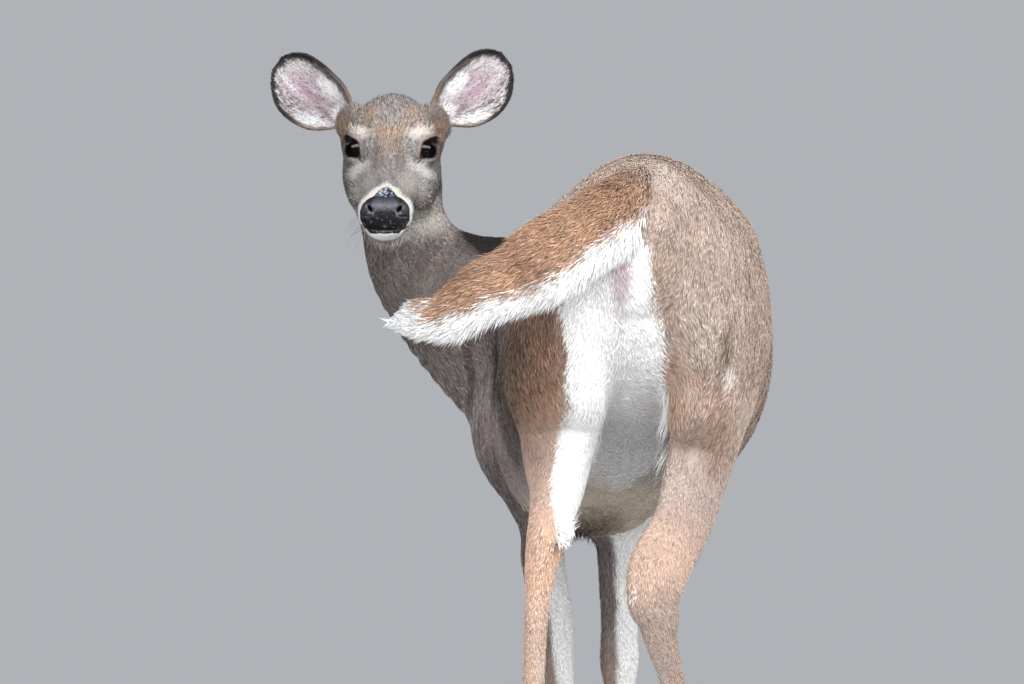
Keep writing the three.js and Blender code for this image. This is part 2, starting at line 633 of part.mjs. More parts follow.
function addLeg({ name, stations, space, low, high, split }) {
  const below = (top) => block({ face: [0, 0, top], normal: [0, 0, 1], sizes: [1200, 1200, 500] });
  const upper = fleshIn(low, high, [25, 28, 27]).intersect(slab(space));
  add(`${name}_upper`, biggest(upper.subtract(below(split))), LOOKS.coat);
  const first = stations.findIndex((s) => Math.min(s.a[2], s.b[2]) < split) - 1;
  const bone = sweep(stations, 2).sections.slice(2 * first);
  const foot = footOf(stations);
  const claws = bothSides((side) => claw(foot, side));
  const dewclaws = bothSides((side) => dewclaw(foot, side, 0));
  const clear = [block(foot.sole, GAP), ...bothSides((side) => dewclaw(foot, side, GAP))];
  const lower = solid(loft(rings(bone, 8))).intersect(below(split - GAP));
  add(`${name}_lower`, biggest(cut(lower, clear)), LOOKS.coat);
  claws.forEach((made, i) => add(`${name}_hoof_${i + 1}`, made, LOOKS.horn));
  dewclaws.forEach((made, i) => add(`${name}_dewclaw_${i + 1}`, made, LOOKS.horn));
}

// Where a foot stands: the middle of its sole, its heading, and the sloping top of its hooves.
function footOf(stations) {
  const last = stations[stations.length - 1];
  const heading = point(last.a[0] - last.b[0], last.a[1] - last.b[1], 0).normalize();
  const middle = point(...last.a).lerp(point(...last.b), 0.5).setZ(0).addScaledVector(heading, -2);
  const top = heading.clone().multiplyScalar(-0.22).setZ(1).normalize();
  const face = middle.clone().setZ(HOOF_HEIGHT);
  const fetlock = stations[stations.length - 4];
  const sole = { face: face.toArray(), normal: top.toArray(), sizes: [160, 160, 90] };
  const side = heading.clone().cross(point(0, 0, 1));
  return { middle, heading, side, top, fetlock: point(...fetlock.b), sole };
}

// One claw of a hoof: a half oval with a flat inner wall and a flat sole, leaning back to its top.
function claw({ middle, heading, side, top }, which) {
  const outline = (length, width, back) =>
    Array.from({ length: 8 }, (_, i) => {
      const turn = (2 * Math.PI * (i + 0.5)) / 8;
      const u = Math.cos(turn);
      const v = Math.sin(turn);
      const along = u * (length / 2) - back;
      const across = CLEFT / 2 + (width / 2) * (1 + v * (u > 0 ? 1 - 0.25 * u * u : 1));
      return [along, which * across];
    });
  const layer = (length, width, back, height) =>
    outline(length, width, back).map(([along, across]) => {
      const p = middle.clone().addScaledVector(heading, along).addScaledVector(side, across);
      return p.setZ(height === null ? HOOF_HEIGHT + 0.22 * along : height);
    });
  const half = (HOOF_WIDTH - CLEFT) / 2;
  const layers = [
    layer(HOOF_LENGTH, half, 0, 0),
    layer(HOOF_LENGTH + 1, half, 1, 5),
    layer(HOOF_LENGTH - 12, half - 1.5, 6, null),
  ];
  return solid(loft(which > 0 ? layers.map((ring) => ring.reverse()) : layers));
}

// A dewclaw: a small blunt cone behind the fetlock, pointing down.
function dewclaw({ heading, side, fetlock }, which, grow) {
  const root = fetlock.clone().addScaledVector(side, which * 10).addScaledVector(heading, 15);
  root.z -= 8;
  const tip = root.clone().addScaledVector(heading, -9).addScaledVector(side, which * 3);
  tip.z -= DEWCLAW_LENGTH - 3;
  const turn = new THREE.Quaternion().setFromUnitVectors(point(0, 1, 0), tip.clone().sub(root).normalize());
  const place = new THREE.Matrix4().compose(root.lerp(tip, 0.5), turn, point(1, 1, 1));
  return solid(new THREE.CylinderGeometry(3 + grow, 7 + grow, DEWCLAW_LENGTH + 2 * grow, 7), place);
}

addTrunkNeckAndTail();
addHead();
LEGS.forEach(addLeg);

// The origin is on the floor below the middle of the deer.
const middle = new THREE.Box3().setFromObject(deer).getCenter(point(0, 0, 0));
deer.children.forEach((mesh) => mesh.geometry.translate(-middle.x, -middle.y, 0));

export default deer;
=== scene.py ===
"""A white-tailed deer doe at life size, looking back over her left side.

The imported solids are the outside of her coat. Here one skin lies inside them by the coat's
depth, drawn from the same oval sections, and the hair is laid over it as joined meshes of thin
closed spindles. Lengths in the tables are millimetres; everything built is in metres.
"""
import math

import bmesh
import bpy
import numpy as np
import openvdb
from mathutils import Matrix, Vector


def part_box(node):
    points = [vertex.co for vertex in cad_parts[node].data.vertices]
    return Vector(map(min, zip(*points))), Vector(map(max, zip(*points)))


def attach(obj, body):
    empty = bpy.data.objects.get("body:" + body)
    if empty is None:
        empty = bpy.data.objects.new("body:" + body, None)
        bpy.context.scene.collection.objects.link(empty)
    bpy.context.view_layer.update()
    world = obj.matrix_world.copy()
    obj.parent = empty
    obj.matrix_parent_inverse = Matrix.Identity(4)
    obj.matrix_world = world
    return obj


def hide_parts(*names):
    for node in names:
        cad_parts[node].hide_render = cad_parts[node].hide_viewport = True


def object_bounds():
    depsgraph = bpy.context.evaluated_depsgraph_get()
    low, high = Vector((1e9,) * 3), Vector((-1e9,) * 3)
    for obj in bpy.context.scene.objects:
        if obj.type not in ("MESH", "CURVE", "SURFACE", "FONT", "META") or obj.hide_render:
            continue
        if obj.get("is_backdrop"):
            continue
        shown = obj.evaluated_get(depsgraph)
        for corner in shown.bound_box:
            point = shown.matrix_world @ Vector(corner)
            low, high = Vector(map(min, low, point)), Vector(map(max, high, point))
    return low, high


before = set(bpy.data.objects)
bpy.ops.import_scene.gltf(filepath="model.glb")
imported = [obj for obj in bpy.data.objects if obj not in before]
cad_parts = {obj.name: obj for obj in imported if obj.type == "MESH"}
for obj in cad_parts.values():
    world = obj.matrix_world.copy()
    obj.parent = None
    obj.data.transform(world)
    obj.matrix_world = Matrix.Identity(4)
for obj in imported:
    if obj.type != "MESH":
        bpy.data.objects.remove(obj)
CAD_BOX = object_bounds()

MM = 0.001
FAR = 0.058  # a distance that only means "outside"
LEFT, RIGHT = -1, 1  # the sides of the trunk, -X and +X
rng = np.random.default_rng(11)

# ---- small mathematics


def norm(v):
    """The length of each vector."""
    return np.sqrt((v * v).sum(-1))


def unit(v):
    """Each vector at length 1."""
    return v / np.maximum(norm(v), 1e-12)[..., None]


def dot(a, b):
    """The dot product of each pair of vectors."""
    return (a * b).sum(-1)


def across(v, n):
    """The part of v that lies in the surface whose normal is n."""
    return v - n * dot(v, n)[..., None]


def step(low, high, x):
    """0 below low, 1 above high, smooth between them."""
    t = np.clip((x - low) / (high - low), 0, 1)
    return t * t * (3 - 2 * t)


def band(low, high, soft, x):
    """1 between low and high, falling to 0 over soft on either side."""
    return step(low - soft, low + soft, x) * (1 - step(high - soft, high + soft, x))


def bell(x, width):
    """1 where x is 0, falling to almost 0 at twice the width on either side."""
    return np.exp(-((x / width) ** 2))


def between(low, x, high):
    return (x > low) & (x < high)


def lerp(a, b, w):
    return a * (1 - w) + b * w


def mix(a, b, w):
    """Colours a, turned towards b by each point's w."""
    return lerp(a, b, np.asarray(w)[..., None])


def fill(tone, p):
    """One colour for every point."""
    return np.tile(tone, (len(p), 1))


def blob(x, y, cx, cy, rx, ry, soft=0.5):
    """1 inside an oval, falling to 0 outside it."""
    return 1 - step(1 - soft, 1 + soft, np.hypot((x - cx) / rx, (y - cy) / ry))


def soft_min(a, b, radius):
    """The smaller of a and b, rounded over where they are closer than the radius."""
    h = np.maximum(radius - np.abs(a - b), 0) / radius
    return np.minimum(a, b) - h * h * radius / 4


def soft_max(a, b, radius):
    """The larger of a and b, rounded over in the same way."""
    return -soft_min(-a, -b, radius)


def wobble(p, scale, seed=0):
    """Smooth noise in about -1 to 1 whose features are about scale across."""
    waves = np.random.default_rng(seed)
    k = unit(waves.normal(size=(7, 3))) * (2 * math.pi / scale) * waves.uniform(0.6, 1.4, (7, 1))
    return np.sin(p @ k.T + waves.uniform(0, 2 * math.pi, 7)).sum(-1) / 3


def smooth(rows, steps):
    """Catmull-Rom through rows of numbers."""
    v = np.vstack([2 * rows[0] - rows[1], rows, 2 * rows[-1] - rows[-2]])
    t = np.arange((len(rows) - 1) * steps + 1) / steps
    i = np.minimum(t.astype(int), len(rows) - 2)
    w = (t - i)[:, None]
    p0, p1, p2, p3 = v[i], v[i + 1], v[i + 2], v[i + 3]
    return p1 + 0.5 * w * (p2 - p0 + w * (2 * p0 - 5 * p1 + 4 * p2 - p3 + w * (3 * (p1 - p2) + p3 - p0)))


# ---- the head's directions

EYE_LINE = np.array([-289.0, 275.0, 888.0])  # the middle of the head, level with the eyes
PITCH = math.radians(35)  # how far the face points down
EYE_RADIUS = 15.5
EYE_OUT, EYE_AHEAD = 40, -3  # an eye's middle, out from EYE_LINE and in front of it
FACE = unit(np.array([-0.03, -math.cos(PITCH), -math.sin(PITCH)]))
OUT = unit(np.array([1.0, 0, 0]) - FACE * FACE[0])
BROW = np.cross(FACE, OUT) * np.sign(np.cross(FACE, OUT)[2])


def middle_of(node):
    """The middle of a solid's box in the frame."""
    low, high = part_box(node)
    return (np.array(low) + np.array(high)) / 2


# The tables are drawn about another origin than the frame's: the eyes say how far apart they are.
EYES = (middle_of("eye_left") + middle_of("eye_right")) / 2
SHIFT = EYES / MM - (EYE_LINE + FACE * EYE_AHEAD)
HEAD_ORIGIN = (EYE_LINE + SHIFT) * MM


def head_place(p):
    """Each point's millimetres in front of the eye line, above it and to her left."""
    q = (p - HEAD_ORIGIN) / MM
    return q @ FACE, q @ BROW, q @ OUT


def eye_height(p):
    """Each point's millimetres above the eyes, straight up."""
    return (p[:, 2] - HEAD_ORIGIN[2]) / MM


def head_spot(forward, up, out):
    """The place that lies so many millimetres in front of the eye line, above it and to her left."""
    return HEAD_ORIGIN + (FACE * forward + BROW * up + OUT * out) * MM


def head_row(forward, top, bottom, wide, out=0, taper=0):
    """A sweep's row across the head, from heights above and below the eye line."""
    a = EYE_LINE + FACE * forward + BROW * top + OUT * out
    b = EYE_LINE + FACE * forward + BROW * bottom + OUT * out
    return (*a, *b, wide, taper)


# ---- sweeps

# Rows of a sweep: the two ends of an oval's long axis, its half width, and its taper.
TRUNK = [
    (0, -385, 752, -4, -390, 616, 60, 0),
    (6, -310, 810, 0, -345, 566, 98, 0),
    (13, -225, 824, 8, -235, 532, 128, 0.03),
    (15, -130, 818, 12, -130, 488, 143, 0.06),
    (8, -35, 803, 8, -35, 450, 154, 0.12),
    (-8, 55, 789, -6, 60, 430, 150, 0.16),
    (-34, 135, 785, -28, 150, 422, 132, 0.2),
    (-62, 200, 785, -58, 235, 420, 104, 0.22),
    (-92, 250, 768, -84, 316, 462, 70, 0.1),
]
NECK = [
    (-62, 196, 776, -108, 330, 500, 78, 0.2),
    (-128, 256, 786, -182, 342, 566, 70, 0.2),
    (-176, 302, 791, -248, 352, 636, 62, 0.15),
    (-210, 330, 806, -299, 350, 706, 56, 0.1),
    (-230, 352, 838, -319, 346, 772, 52, 0.05),
    (-248, 380, 884, -324, 322, 826, 48, 0),
    (-272, 382, 930, -304, 290, 862, 45, 0),
]
TAIL = [
    (6, -330, 800, 34, -330, 752, 28, 0),
    (-24, -380, 784, 13, -378, 731, 27, 0),
    (-65, -444, 755, -25, -434, 695, 26, 0),
    (-118, -474, 724, -74, -466, 648, 25, 0),
    (-151, -478, 697, -112, -470, 631, 24, 0),
    (-184, -478, 676, -152, -472, 619, 22, 0),
    (-216, -472, 649, -194, -468, 599, 20, 0),
    (-243, -462, 640, -237, -458, 593, 17, 0),
    (-263, -454, 629, -261, -452, 600, 12, 0),
    (-275, -450, 618, -275, -449, 608, 5, 0),
]
HIND_LEFT = [
    (-58, -140, 716, -52, -390, 700, 66, 0),
    (-88, -124, 640, -64, -410, 626, 67, 0),
    (-112, -122, 574, -72, -398, 566, 58, 0),
    (-103, -146, 518, -68, -370, 512, 45, -0.05),
    (-92, -206, 468, -80, -362, 478, 35, -0.1),
    (-94, -262, 430, -86, -372, 450, 29, -0.1),
    (-98, -310, 402, -94, -390, 430, 25, -0.1),
    (-102, -342, 380, -98, -410, 411, 24, 0),
    (-109, -342, 346, -107, -398, 362, 19, 0),
    (-113, -344, 310, -113, -384, 314, 14.5, 0),
    (-117, -340, 225, -117, -374, 228, 13, 0),
    (-118, -338, 140, -118, -368, 140, 13, 0),
    (-119, -334, 98, -119, -374, 90, 17, 0),
    (-120, -312, 62, -120, -348, 48, 15.5, 0),
    (-121, -284, 30, -121, -334, 20, 19, 0),
    (-121, -276, 12, -121, -326, 2, 19, 0),
]
HIND_RIGHT = [
    (66, -140, 716, 56, -390, 700, 70, 0),
    (96, -122, 618, 66, -410, 622, 69, 0),
    (108, -124, 550, 62, -398, 568, 50, 0),
    (101, -142, 494, 50, -362, 520, 36, -0.05),
    (86, -180, 446, 39, -346, 484, 29, -0.1),
    (72, -228, 410, 32, -358, 446, 23, -0.1),
    (60, -284, 370, 20, -380, 408, 18, 0),
    (44, -332, 324, -12, -405, 350, 19, 0),
    (36, -326, 294, 4, -384, 318, 18, 0),
    (34, -306, 262, 17, -352, 276, 16.5, 0),
    (43, -278, 214, 34, -312, 226, 14.5, 0),
    (53, -236, 142, 45, -268, 152, 13.5, 0),
    (63, -193, 88, 56, -233, 80, 17, 0),
    (70, -166, 60, 62, -204, 46, 15.5, 0),
    (80, -134, 30, 70, -183, 20, 19, 0),
    (82, -126, 12, 72, -175, 2, 19, 0),
]
FORE_LEFT = [
    (-104, 262, 706, -62, 140, 726, 36, 0),
    (-146, 306, 612, -90, 165, 622, 42, 0),
    (-166, 318, 548, -114, 180, 524, 45, 0),
    (-132, 288, 486, -102, 174, 462, 35, 0),
    (-108, 258, 432, -100, 188, 424, 29, 0),
    (-104, 246, 384, -101, 194, 380, 27, 0),
    (-91, 240, 315, -91, 199, 312, 24, 0),
    (-87, 246, 264, -87, 200, 260, 22, 0),
    (-82, 234, 222, -82, 200, 220, 16.5, 0),
    (-80, 230, 150, -80, 201, 150, 13.5, 0),
    (-79, 238, 96, -79, 198, 88, 17, 0),
    (-79, 258, 62, -79, 222, 48, 15.5, 0),
    (-79, 286, 30, -79, 236, 20, 19, 0),
    (-79, 294, 12, -79, 244, 2, 19, 0),
]
FORE_RIGHT = [
    (-34, 262, 706, 12, 140, 726, 36, 0),
    (-40, 314, 612, 26, 170, 622, 46, 0),
    (-30, 320, 548, 20, 182, 524, 46, 0),
    (-16, 292, 486, 2, 184, 462, 38, 0),
    (-13, 262, 432, -11, 194, 424, 29, 0),
    (-12, 256, 384, -12, 204, 380, 25.5, 0),
    (-11, 250, 315, -11, 209, 312, 23, 0),
    (-11, 256, 264, -11, 208, 260, 24, 0),
    (-11, 244, 224, -11, 210, 222, 18, 0),
    (-11, 240, 150, -11, 211, 150, 13.5, 0),
    (-11, 248, 96, -11, 208, 88, 17, 0),
    (-11, 268, 62, -11, 232, 48, 15.5, 0),
    (-11, 296, 30, -11, 246, 20, 19, 0),
    (-11, 304, 12, -11, 254, 2, 19, 0),
]
SKULL = [
    head_row(-78, 34, -50, 44),
    head_row(-46, 55, -66, 53),
    head_row(-14, 52, -73, 54),
    head_row(20, 37, -70, 41, taper=0.08),
    head_row(54, 22, -62, 36, taper=0.08),
    head_row(88, 14, -55, 32, taper=0.05),
    head_row(114, 12, -54, 31),
    head_row(132, 9, -50, 31),
]


class Sweep:
    """An oval section carried along a smooth line, as in the solids."""

    def __init__(self, rows, steps=4):
        rows = smooth(np.array(rows, float), steps)
        a, b = (rows[:, :3] + SHIFT) * MM, (rows[:, 3:6] + SHIFT) * MM
        self.middle = (a + b) / 2
        self.high = norm(a - b) / 2
        self.wide = rows[:, 6] * MM
        self.taper = rows[:, 7]
        along = np.diff(self.middle, axis=0)
        self.length = norm(along)
        self.along = along / self.length[:, None]
        self.up = unit(across((a - b)[:-1] + (a - b)[1:], self.along))
        self.side = np.cross(self.along, self.up)
        self.start = np.concatenate([[0], np.cumsum(self.length)])
        self.reaches = np.array([self.reach(i) for i in range(len(self.length))])

    def reach(self, i):
        """A radius about the start of bone i that holds the bone."""
        return self.length[i] + 1.15 * max(self.high[i : i + 2].max(), self.wide[i : i + 2].max())

    def bone(self, i, d):
        """Distance to bone i, with the place along it, above it and beside it. d is from its start."""
        run = d @ self.along[i]
        t = np.clip(run / self.length[i], 0, 1)
        high = self.high[i] + t * (self.high[i + 1] - self.high[i])
        rise, side = d @ self.up[i], d @ self.side[i]
        taper = self.taper[i] + t * (self.taper[i + 1] - self.taper[i])
        wide = self.wide[i] + t * (self.wide[i + 1] - self.wide[i])
        wide = wide * (1 - taper * np.clip(rise / high, -1, 1))
        z, c = run - t * self.length[i], 0.8 * np.minimum(high, wide)
        scaled = np.sqrt((rise / high) ** 2 + (side / wide) ** 2 + (z / c) ** 2)
        slope = np.sqrt((rise / high**2) ** 2 + (side / wide**2) ** 2 + (z / c**2) ** 2)
        return scaled * (scaled - 1) / np.maximum(slope, 1e-9), t, rise / high, side / wide

    def distance(self, p, centre, radius):
        """Least distance to any bone that comes near the ball round the points."""
        least = np.full(len(p), FAR)
        for i in np.flatnonzero(norm(self.middle[:-1] - centre) < self.reaches + radius + FAR):
            np.minimum(least, self.bone(i, p - self.middle[i])[0], out=least)
        return least

    def measure(self, p, centre, radius):
        """Distance, share of the whole length, rise, side and direction at the nearest bone."""
        least = np.full(len(p), 10.0)
        found = np.zeros((len(p), 3))
        way = np.tile(self.along[0], (len(p), 1))
        for i in np.flatnonzero(norm(self.middle[:-1] - centre) < self.reaches + radius + FAR):
            dist, t, rise, side = self.bone(i, p - self.middle[i])
            best = dist < least
            least[best] = dist[best]
            share = (self.start[i] + t[best] * self.length[i]) / self.start[-1]
            found[best] = np.stack([share, rise[best], side[best]], 1)
            way[best] = self.along[i]
        return np.column_stack([least, found, way])


def bar(*ends):
    """A short sweep in the head, from rows of forward, top, bottom, width and out."""
    return Sweep([head_row(f, top, bottom, wide, out) for f, top, bottom, wide, out in ends])


LEG_NAMES = ("hind_left", "hind_right", "fore_left", "fore_right")
trunk, neck, tail = Sweep(TRUNK), Sweep(NECK), Sweep(TAIL)
legs = [Sweep(rows, 8) for rows in (HIND_LEFT, HIND_RIGHT, FORE_LEFT, FORE_RIGHT)]
skull = Sweep(SKULL)
jaws = [bar((-30, -20, -78, 22, s * 35), (22, -30, -74, 21, s * 32)) for s in (LEFT, RIGHT)]
orbits = [bar((-28, 31, -20, 19, s * 38), (-3, 28, -19, 18, s * 40)) for s in (LEFT, RIGHT)]
wings = [bar((122, 8, -28, 14, s * 18), (137, 5, -25, 14, s * 17)) for s in (LEFT, RIGHT)]
ear_bases = [bar((-42, 30, -34, 20, s * 44), (-60, 44, -26, 21, s * 51)) for s in (LEFT, RIGHT)]

BLOCK = 0.05  # the size of the blocks of points that are measured together
CELL_SHIFT, CELL_ROW = 200, 1000  # make each block's three whole numbers one, and none below 0


def in_blocks(p, work):
    """Runs work(points, centre, radius) on the points block by block, and puts its rows back in order."""
    cell = np.floor(p / BLOCK).astype(int) + CELL_SHIFT
    key = (cell[:, 0] * CELL_ROW + cell[:, 1]) * CELL_ROW + cell[:, 2]
    order = np.argsort(key, kind="stable")
    cuts = np.flatnonzero(np.diff(key[order])) + 1
    rows = []
    for some in np.split(order, cuts):
        q = p[some]
        centre = (q.min(0) + q.max(0)) / 2
        rows.append(work(q, centre, norm(q - centre).max()))
    out = np.empty((len(p), *rows[0].shape[1:]))
    out[order] = np.concatenate(rows)
    return out


def blend(radius, values):
    """The least of several distances, rounded over."""
    total = values[0]
    for value in values[1:]:
        total = soft_min(total, value, radius)
    return total


def joined(get):
    """The whole body's distance, where get(sweep) gives one sweep's."""
    cheeks = blend(0.026, [get(skull), *map(get, jaws)])
    head = blend(0.014, [cheeks, *map(get, orbits), *map(get, wings), *map(get, ear_bases)])
    core = blend(0.036, [get(trunk), get(neck), head])
    body = np.minimum.reduce([soft_min(core, get(leg), 0.034) for leg in legs])
    return soft_min(body, get(tail), 0.018)


# ---- the skin's shape

EYE_MIDDLES = {s: head_spot(EYE_AHEAD, 0, s * EYE_OUT) for s in (LEFT, RIGHT)}
LID = 2.3  # how far the lids stand off the eyeball
UPPER_LID, LOWER_LID = 48, 38  # degrees from the middle of the opening to each lid
LID_TILT = 0.16  # how much the opening rises towards the nose
LID_REACH = 68  # degrees from the middle of the opening to its corners
HAIR_GAP = 0.0065  # the coat's depth at the rear, where its fur is thickest


def eye_axes(s):
    """Directions of an eye: along the lids to the nose, up, and out."""
    gaze = unit(FACE * 0.55 + OUT * (0.77 * s) + BROW * 0.4)
    along = unit(across(FACE, gaze))
    high = np.cross(gaze, along)
    return along, high * np.sign(high @ BROW), gaze


def lid_gap(p, s):
    """Degrees outside the opening between the lids, and the place round the eye in degrees."""
    e = (p - EYE_MIDDLES[s]) / MM
    along, high, gaze = eye_axes(s)
    a = np.degrees(np.arctan2(e @ along, e @ gaze))
    b = np.degrees(np.arctan2(e @ high, e @ gaze))
    arch = np.sqrt(np.clip(1 - (a / LID_REACH) ** 2, 0.0, 1))
    rise = b - 1 - LID_TILT * a
    half = np.where(rise > 0, UPPER_LID, LOWER_LID) * arch + 2
    return np.maximum(np.abs(rise) - half, np.abs(a) - LID_REACH), a, b


def coat_depth(p):
    """How far the skin lies inside the solids."""
    f, u, o = head_place(p)
    z = p[..., 2]
    depth = 0.0016 + 0.0022 * step(0.36, 0.52, z)
    face = 0.001 + 0.002 * (1 - step(60, 110, f)) + 0.001 * (1 - step(-60, -20, f))
    near_head = step(-130, -60, f) * (1 - step(95, 125, np.abs(o)))
    near_head = near_head * step(-120, -90, u) * step(0.72, 0.78, z)
    depth = lerp(depth, face, near_head)
    behind = step(-0.375, -0.41, p[..., 1]) * (1 - step(0.08, 0.12, p[..., 0])) * step(0.52, 0.56, z)
    return lerp(depth, HAIR_GAP, behind)


# A nostril: a slit that runs down towards the middle, and the fold below it that runs back out.
# Each has its middle, out and up, its half length and half width in millimetres, and its turn.
NOSTRIL_SLITS = ((17, -1.5, 4.2, 1.7, -0.8), (21, -8.5, 6.5, 0.9, 0.35))


def carve_face(value, p):
    """Adds lids, nostrils, mouth and chin to the distance near the face."""
    f, u, o = head_place(p)
    m = np.abs(o)
    for s in (LEFT, RIGHT):
        e = (p - EYE_MIDDLES[s]) / MM
        gap, _, b = lid_gap(p, s)
        r = norm(e)
        ahead = e @ eye_axes(s)[2]
        value = np.where(ahead > -6, soft_min(value, (r - (EYE_RADIUS + LID)) * MM, 0.007), value)
        bowl = (r - (EYE_RADIUS + LID + 0.33 * np.maximum(gap, 0))) * 0.8 * MM - 0.012 * step(9, 0, ahead)
        value = np.where(r < 40, soft_max(value, bowl, 0.004), value)
        fold = 0.0009 * bell(r - 21.0, 1.6) * step(0, 25, b) * step(4, 9, ahead)
        room = np.maximum(gap * 0.42, (7 - ahead) * 0.6) * MM
        value = np.where(r < 40, soft_max(value + fold, -room, 0.0018), value)
    for middle, rise, reach, width, turn in NOSTRIL_SLITS:
        dx, dy = m - middle, u - rise
        x, y = dx * math.cos(turn) - dy * math.sin(turn), dx * math.sin(turn) + dy * math.cos(turn)
        slit = (np.hypot(x / reach, y / width) - 1) * width * MM
        room = np.maximum(slit, (131 - f) * MM * 0.6)
        value = np.where(f > 112, soft_max(value, -room, 0.0022), value)
    # mouth: a groove below the nose that runs back and down along each side
    line = mouth_line(f)
    groove = bell(u - line, 1.9) * step(66, 84, f) * (u < -15)
    value = value + 0.0026 * groove
    lip = bell(u - line + 6, 4.0) * step(100, 120, f)
    value = value - 0.0012 * lip
    # the gland in front of each eye, and the middle groove of the nose
    duct = np.exp(-(((f - 20) / 9) ** 2) - (((u + 4 + 0.45 * (f - 12)) / 2.0) ** 2)) * step(20, 26, m)
    middle = bell(m, 1.3) * step(124, 130, f) * (1 - step(-22, -16, -u)) * step(-34, -28, u)
    return value + 0.0018 * duct + 0.0007 * middle


def mouth_line(f):
    """How high the mouth lies above the middle of the face: it runs back and down from the nose."""
    return -29.0 - 0.17 * (132 - f)


def skin_distance(p):
    """Distance to the skin, less than 0 inside."""

    def work(q, centre, radius):
        value = joined(lambda sweep: sweep.distance(q, centre, radius)) + coat_depth(q)
        value = soft_max(value, 0.012 - q[:, 2], 0.004)
        return carve_face(value, q) if np.abs(centre - HEAD_ORIGIN).max() < 0.19 else value

    return in_blocks(p, work)


def widen(grid, axis, times, count):
    """Linear interpolation of a grid to a finer one along an axis."""
    at = np.minimum(np.arange(count) / times, grid.shape[axis] - 1.001)
    low = at.astype(int)
    w = (at - low).reshape([-1 if k == axis else 1 for k in range(3)]).astype(np.float32)
    return np.take(grid, low, axis) * (1 - w) + np.take(grid, low + 1, axis) * w


def shell(low, high, cell, times, sure):
    """The skin inside a box, as points and quads. Each place nearer than sure is worked out exactly."""
    low = np.array(low)
    size = np.ceil((np.array(high) - low) / cell).astype(int) + 1
    few = size // times + 2
    lines = [low[k] + cell * times * np.arange(few[k]) for k in range(3)]
    spots = np.stack(np.meshgrid(*lines, indexing="ij"), -1)
    value = skin_distance(spots.reshape(-1, 3)).reshape(few).astype(np.float32)
    for axis in range(3):
        value = widen(value, axis, times, size[axis])
    near = np.flatnonzero(np.abs(value).ravel() < sure)
    value.ravel()[near] = skin_distance(np.stack(np.unravel_index(near, size), -1) * cell + low)
    for axis in range(3):  # the box's own faces are outside, so that the surface closes
        edge = [slice(None)] * 3
        for edge[axis] in (0, -1):
            value[tuple(edge)] = np.maximum(value[tuple(edge)], cell)
    grid = openvdb.FloatGrid(FAR)
    grid.copyFromArray(np.ascontiguousarray(value))
    points, quads = grid.convertToQuads(0.0)
    return points * cell + low, quads


def relax(points, quads, rounds):
    """Smooths away ripples without shrinking the shape."""
    links = np.concatenate([quads[:, [k, (k + 1) % 4]] for k in range(4)])
    links = np.concatenate([links, links[:, ::-1]])
    count = np.maximum(np.bincount(links[:, 0], minlength=len(points)), 1)[:, None]
    for turn in range(2 * rounds):
        near = np.stack([np.bincount(links[:, 0], points[links[:, 1], k], len(points)) for k in range(3)], 1)
        points = points + (0.55 if turn % 2 == 0 else -0.57) * (near / count - points)
    return points


BODY_CELL, HEAD_CELL = 0.0045, 0.0015
BODY_ROUNDS, HEAD_ROUNDS = 12, 2  # of smoothing
HEAD_ROOM = [0.085, 0.15, 0.125], [0.085, 0.11, 0.075]  # the fine skin's box round HEAD_ORIGIN
SPLIT_PLACE = (np.array([-285, 342, 882]) + SHIFT) * MM
SPLIT_WAY = unit(np.array([0, 0.73, -0.68]))


def is_by_head(way):
    """Whether a place, seen from the middle of the head, is on the head or the top of the neck."""
    return way.length < 0.2 and abs(way.x) < 0.1


def half_skin(points, quads, keep_head):
    """A bmesh of one side of the plane behind the head."""
    mesh = bpy.data.meshes.new("half")
    fill_mesh(mesh, points, quads)
    half = bmesh.new()
    half.from_mesh(mesh)
    bpy.data.meshes.remove(mesh)
    middle = Vector(HEAD_ORIGIN)
    near = [f for f in half.faces if is_by_head(f.calc_center_median() - middle)]
    parts = dict.fromkeys(near + [e for f in near for e in f.edges] + [v for f in near for v in f.verts])
    place = SPLIT_PLACE + SPLIT_WAY * (0.0 if keep_head else 0.004)
    bmesh.ops.bisect_plane(
        half, geom=list(parts), plane_co=place, plane_no=SPLIT_WAY,
        clear_outer=keep_head, clear_inner=not keep_head,
    )
    return half


def fill_mesh(mesh, points, polygons):
    """Fills an empty mesh from arrays of points and of polygons with the same number of corners."""
    sides = polygons.shape[1]
    mesh.vertices.add(len(points))
    mesh.vertices.foreach_set("co", np.ascontiguousarray(points, np.float32).ravel())
    mesh.loops.add(polygons.size)
    mesh.loops.foreach_set("vertex_index", np.ascontiguousarray(polygons, np.int32).ravel())
    mesh.polygons.add(len(polygons))
    mesh.polygons.foreach_set("loop_start", np.arange(len(polygons), dtype=np.int32) * sides)
    mesh.update(calc_edges=True)
    mesh.shade_smooth()


def add_mesh(name, points, polygons):
    """A new piece from arrays of points and polygons."""
    mesh = bpy.data.meshes.new(name)
    fill_mesh(mesh, points, polygons)
    return add_object(name, mesh)


def add_object(name, data):
    """A new object in the scene."""
    piece = bpy.data.objects.new(name, data)
    bpy.context.scene.collection.objects.link(piece)
    return piece


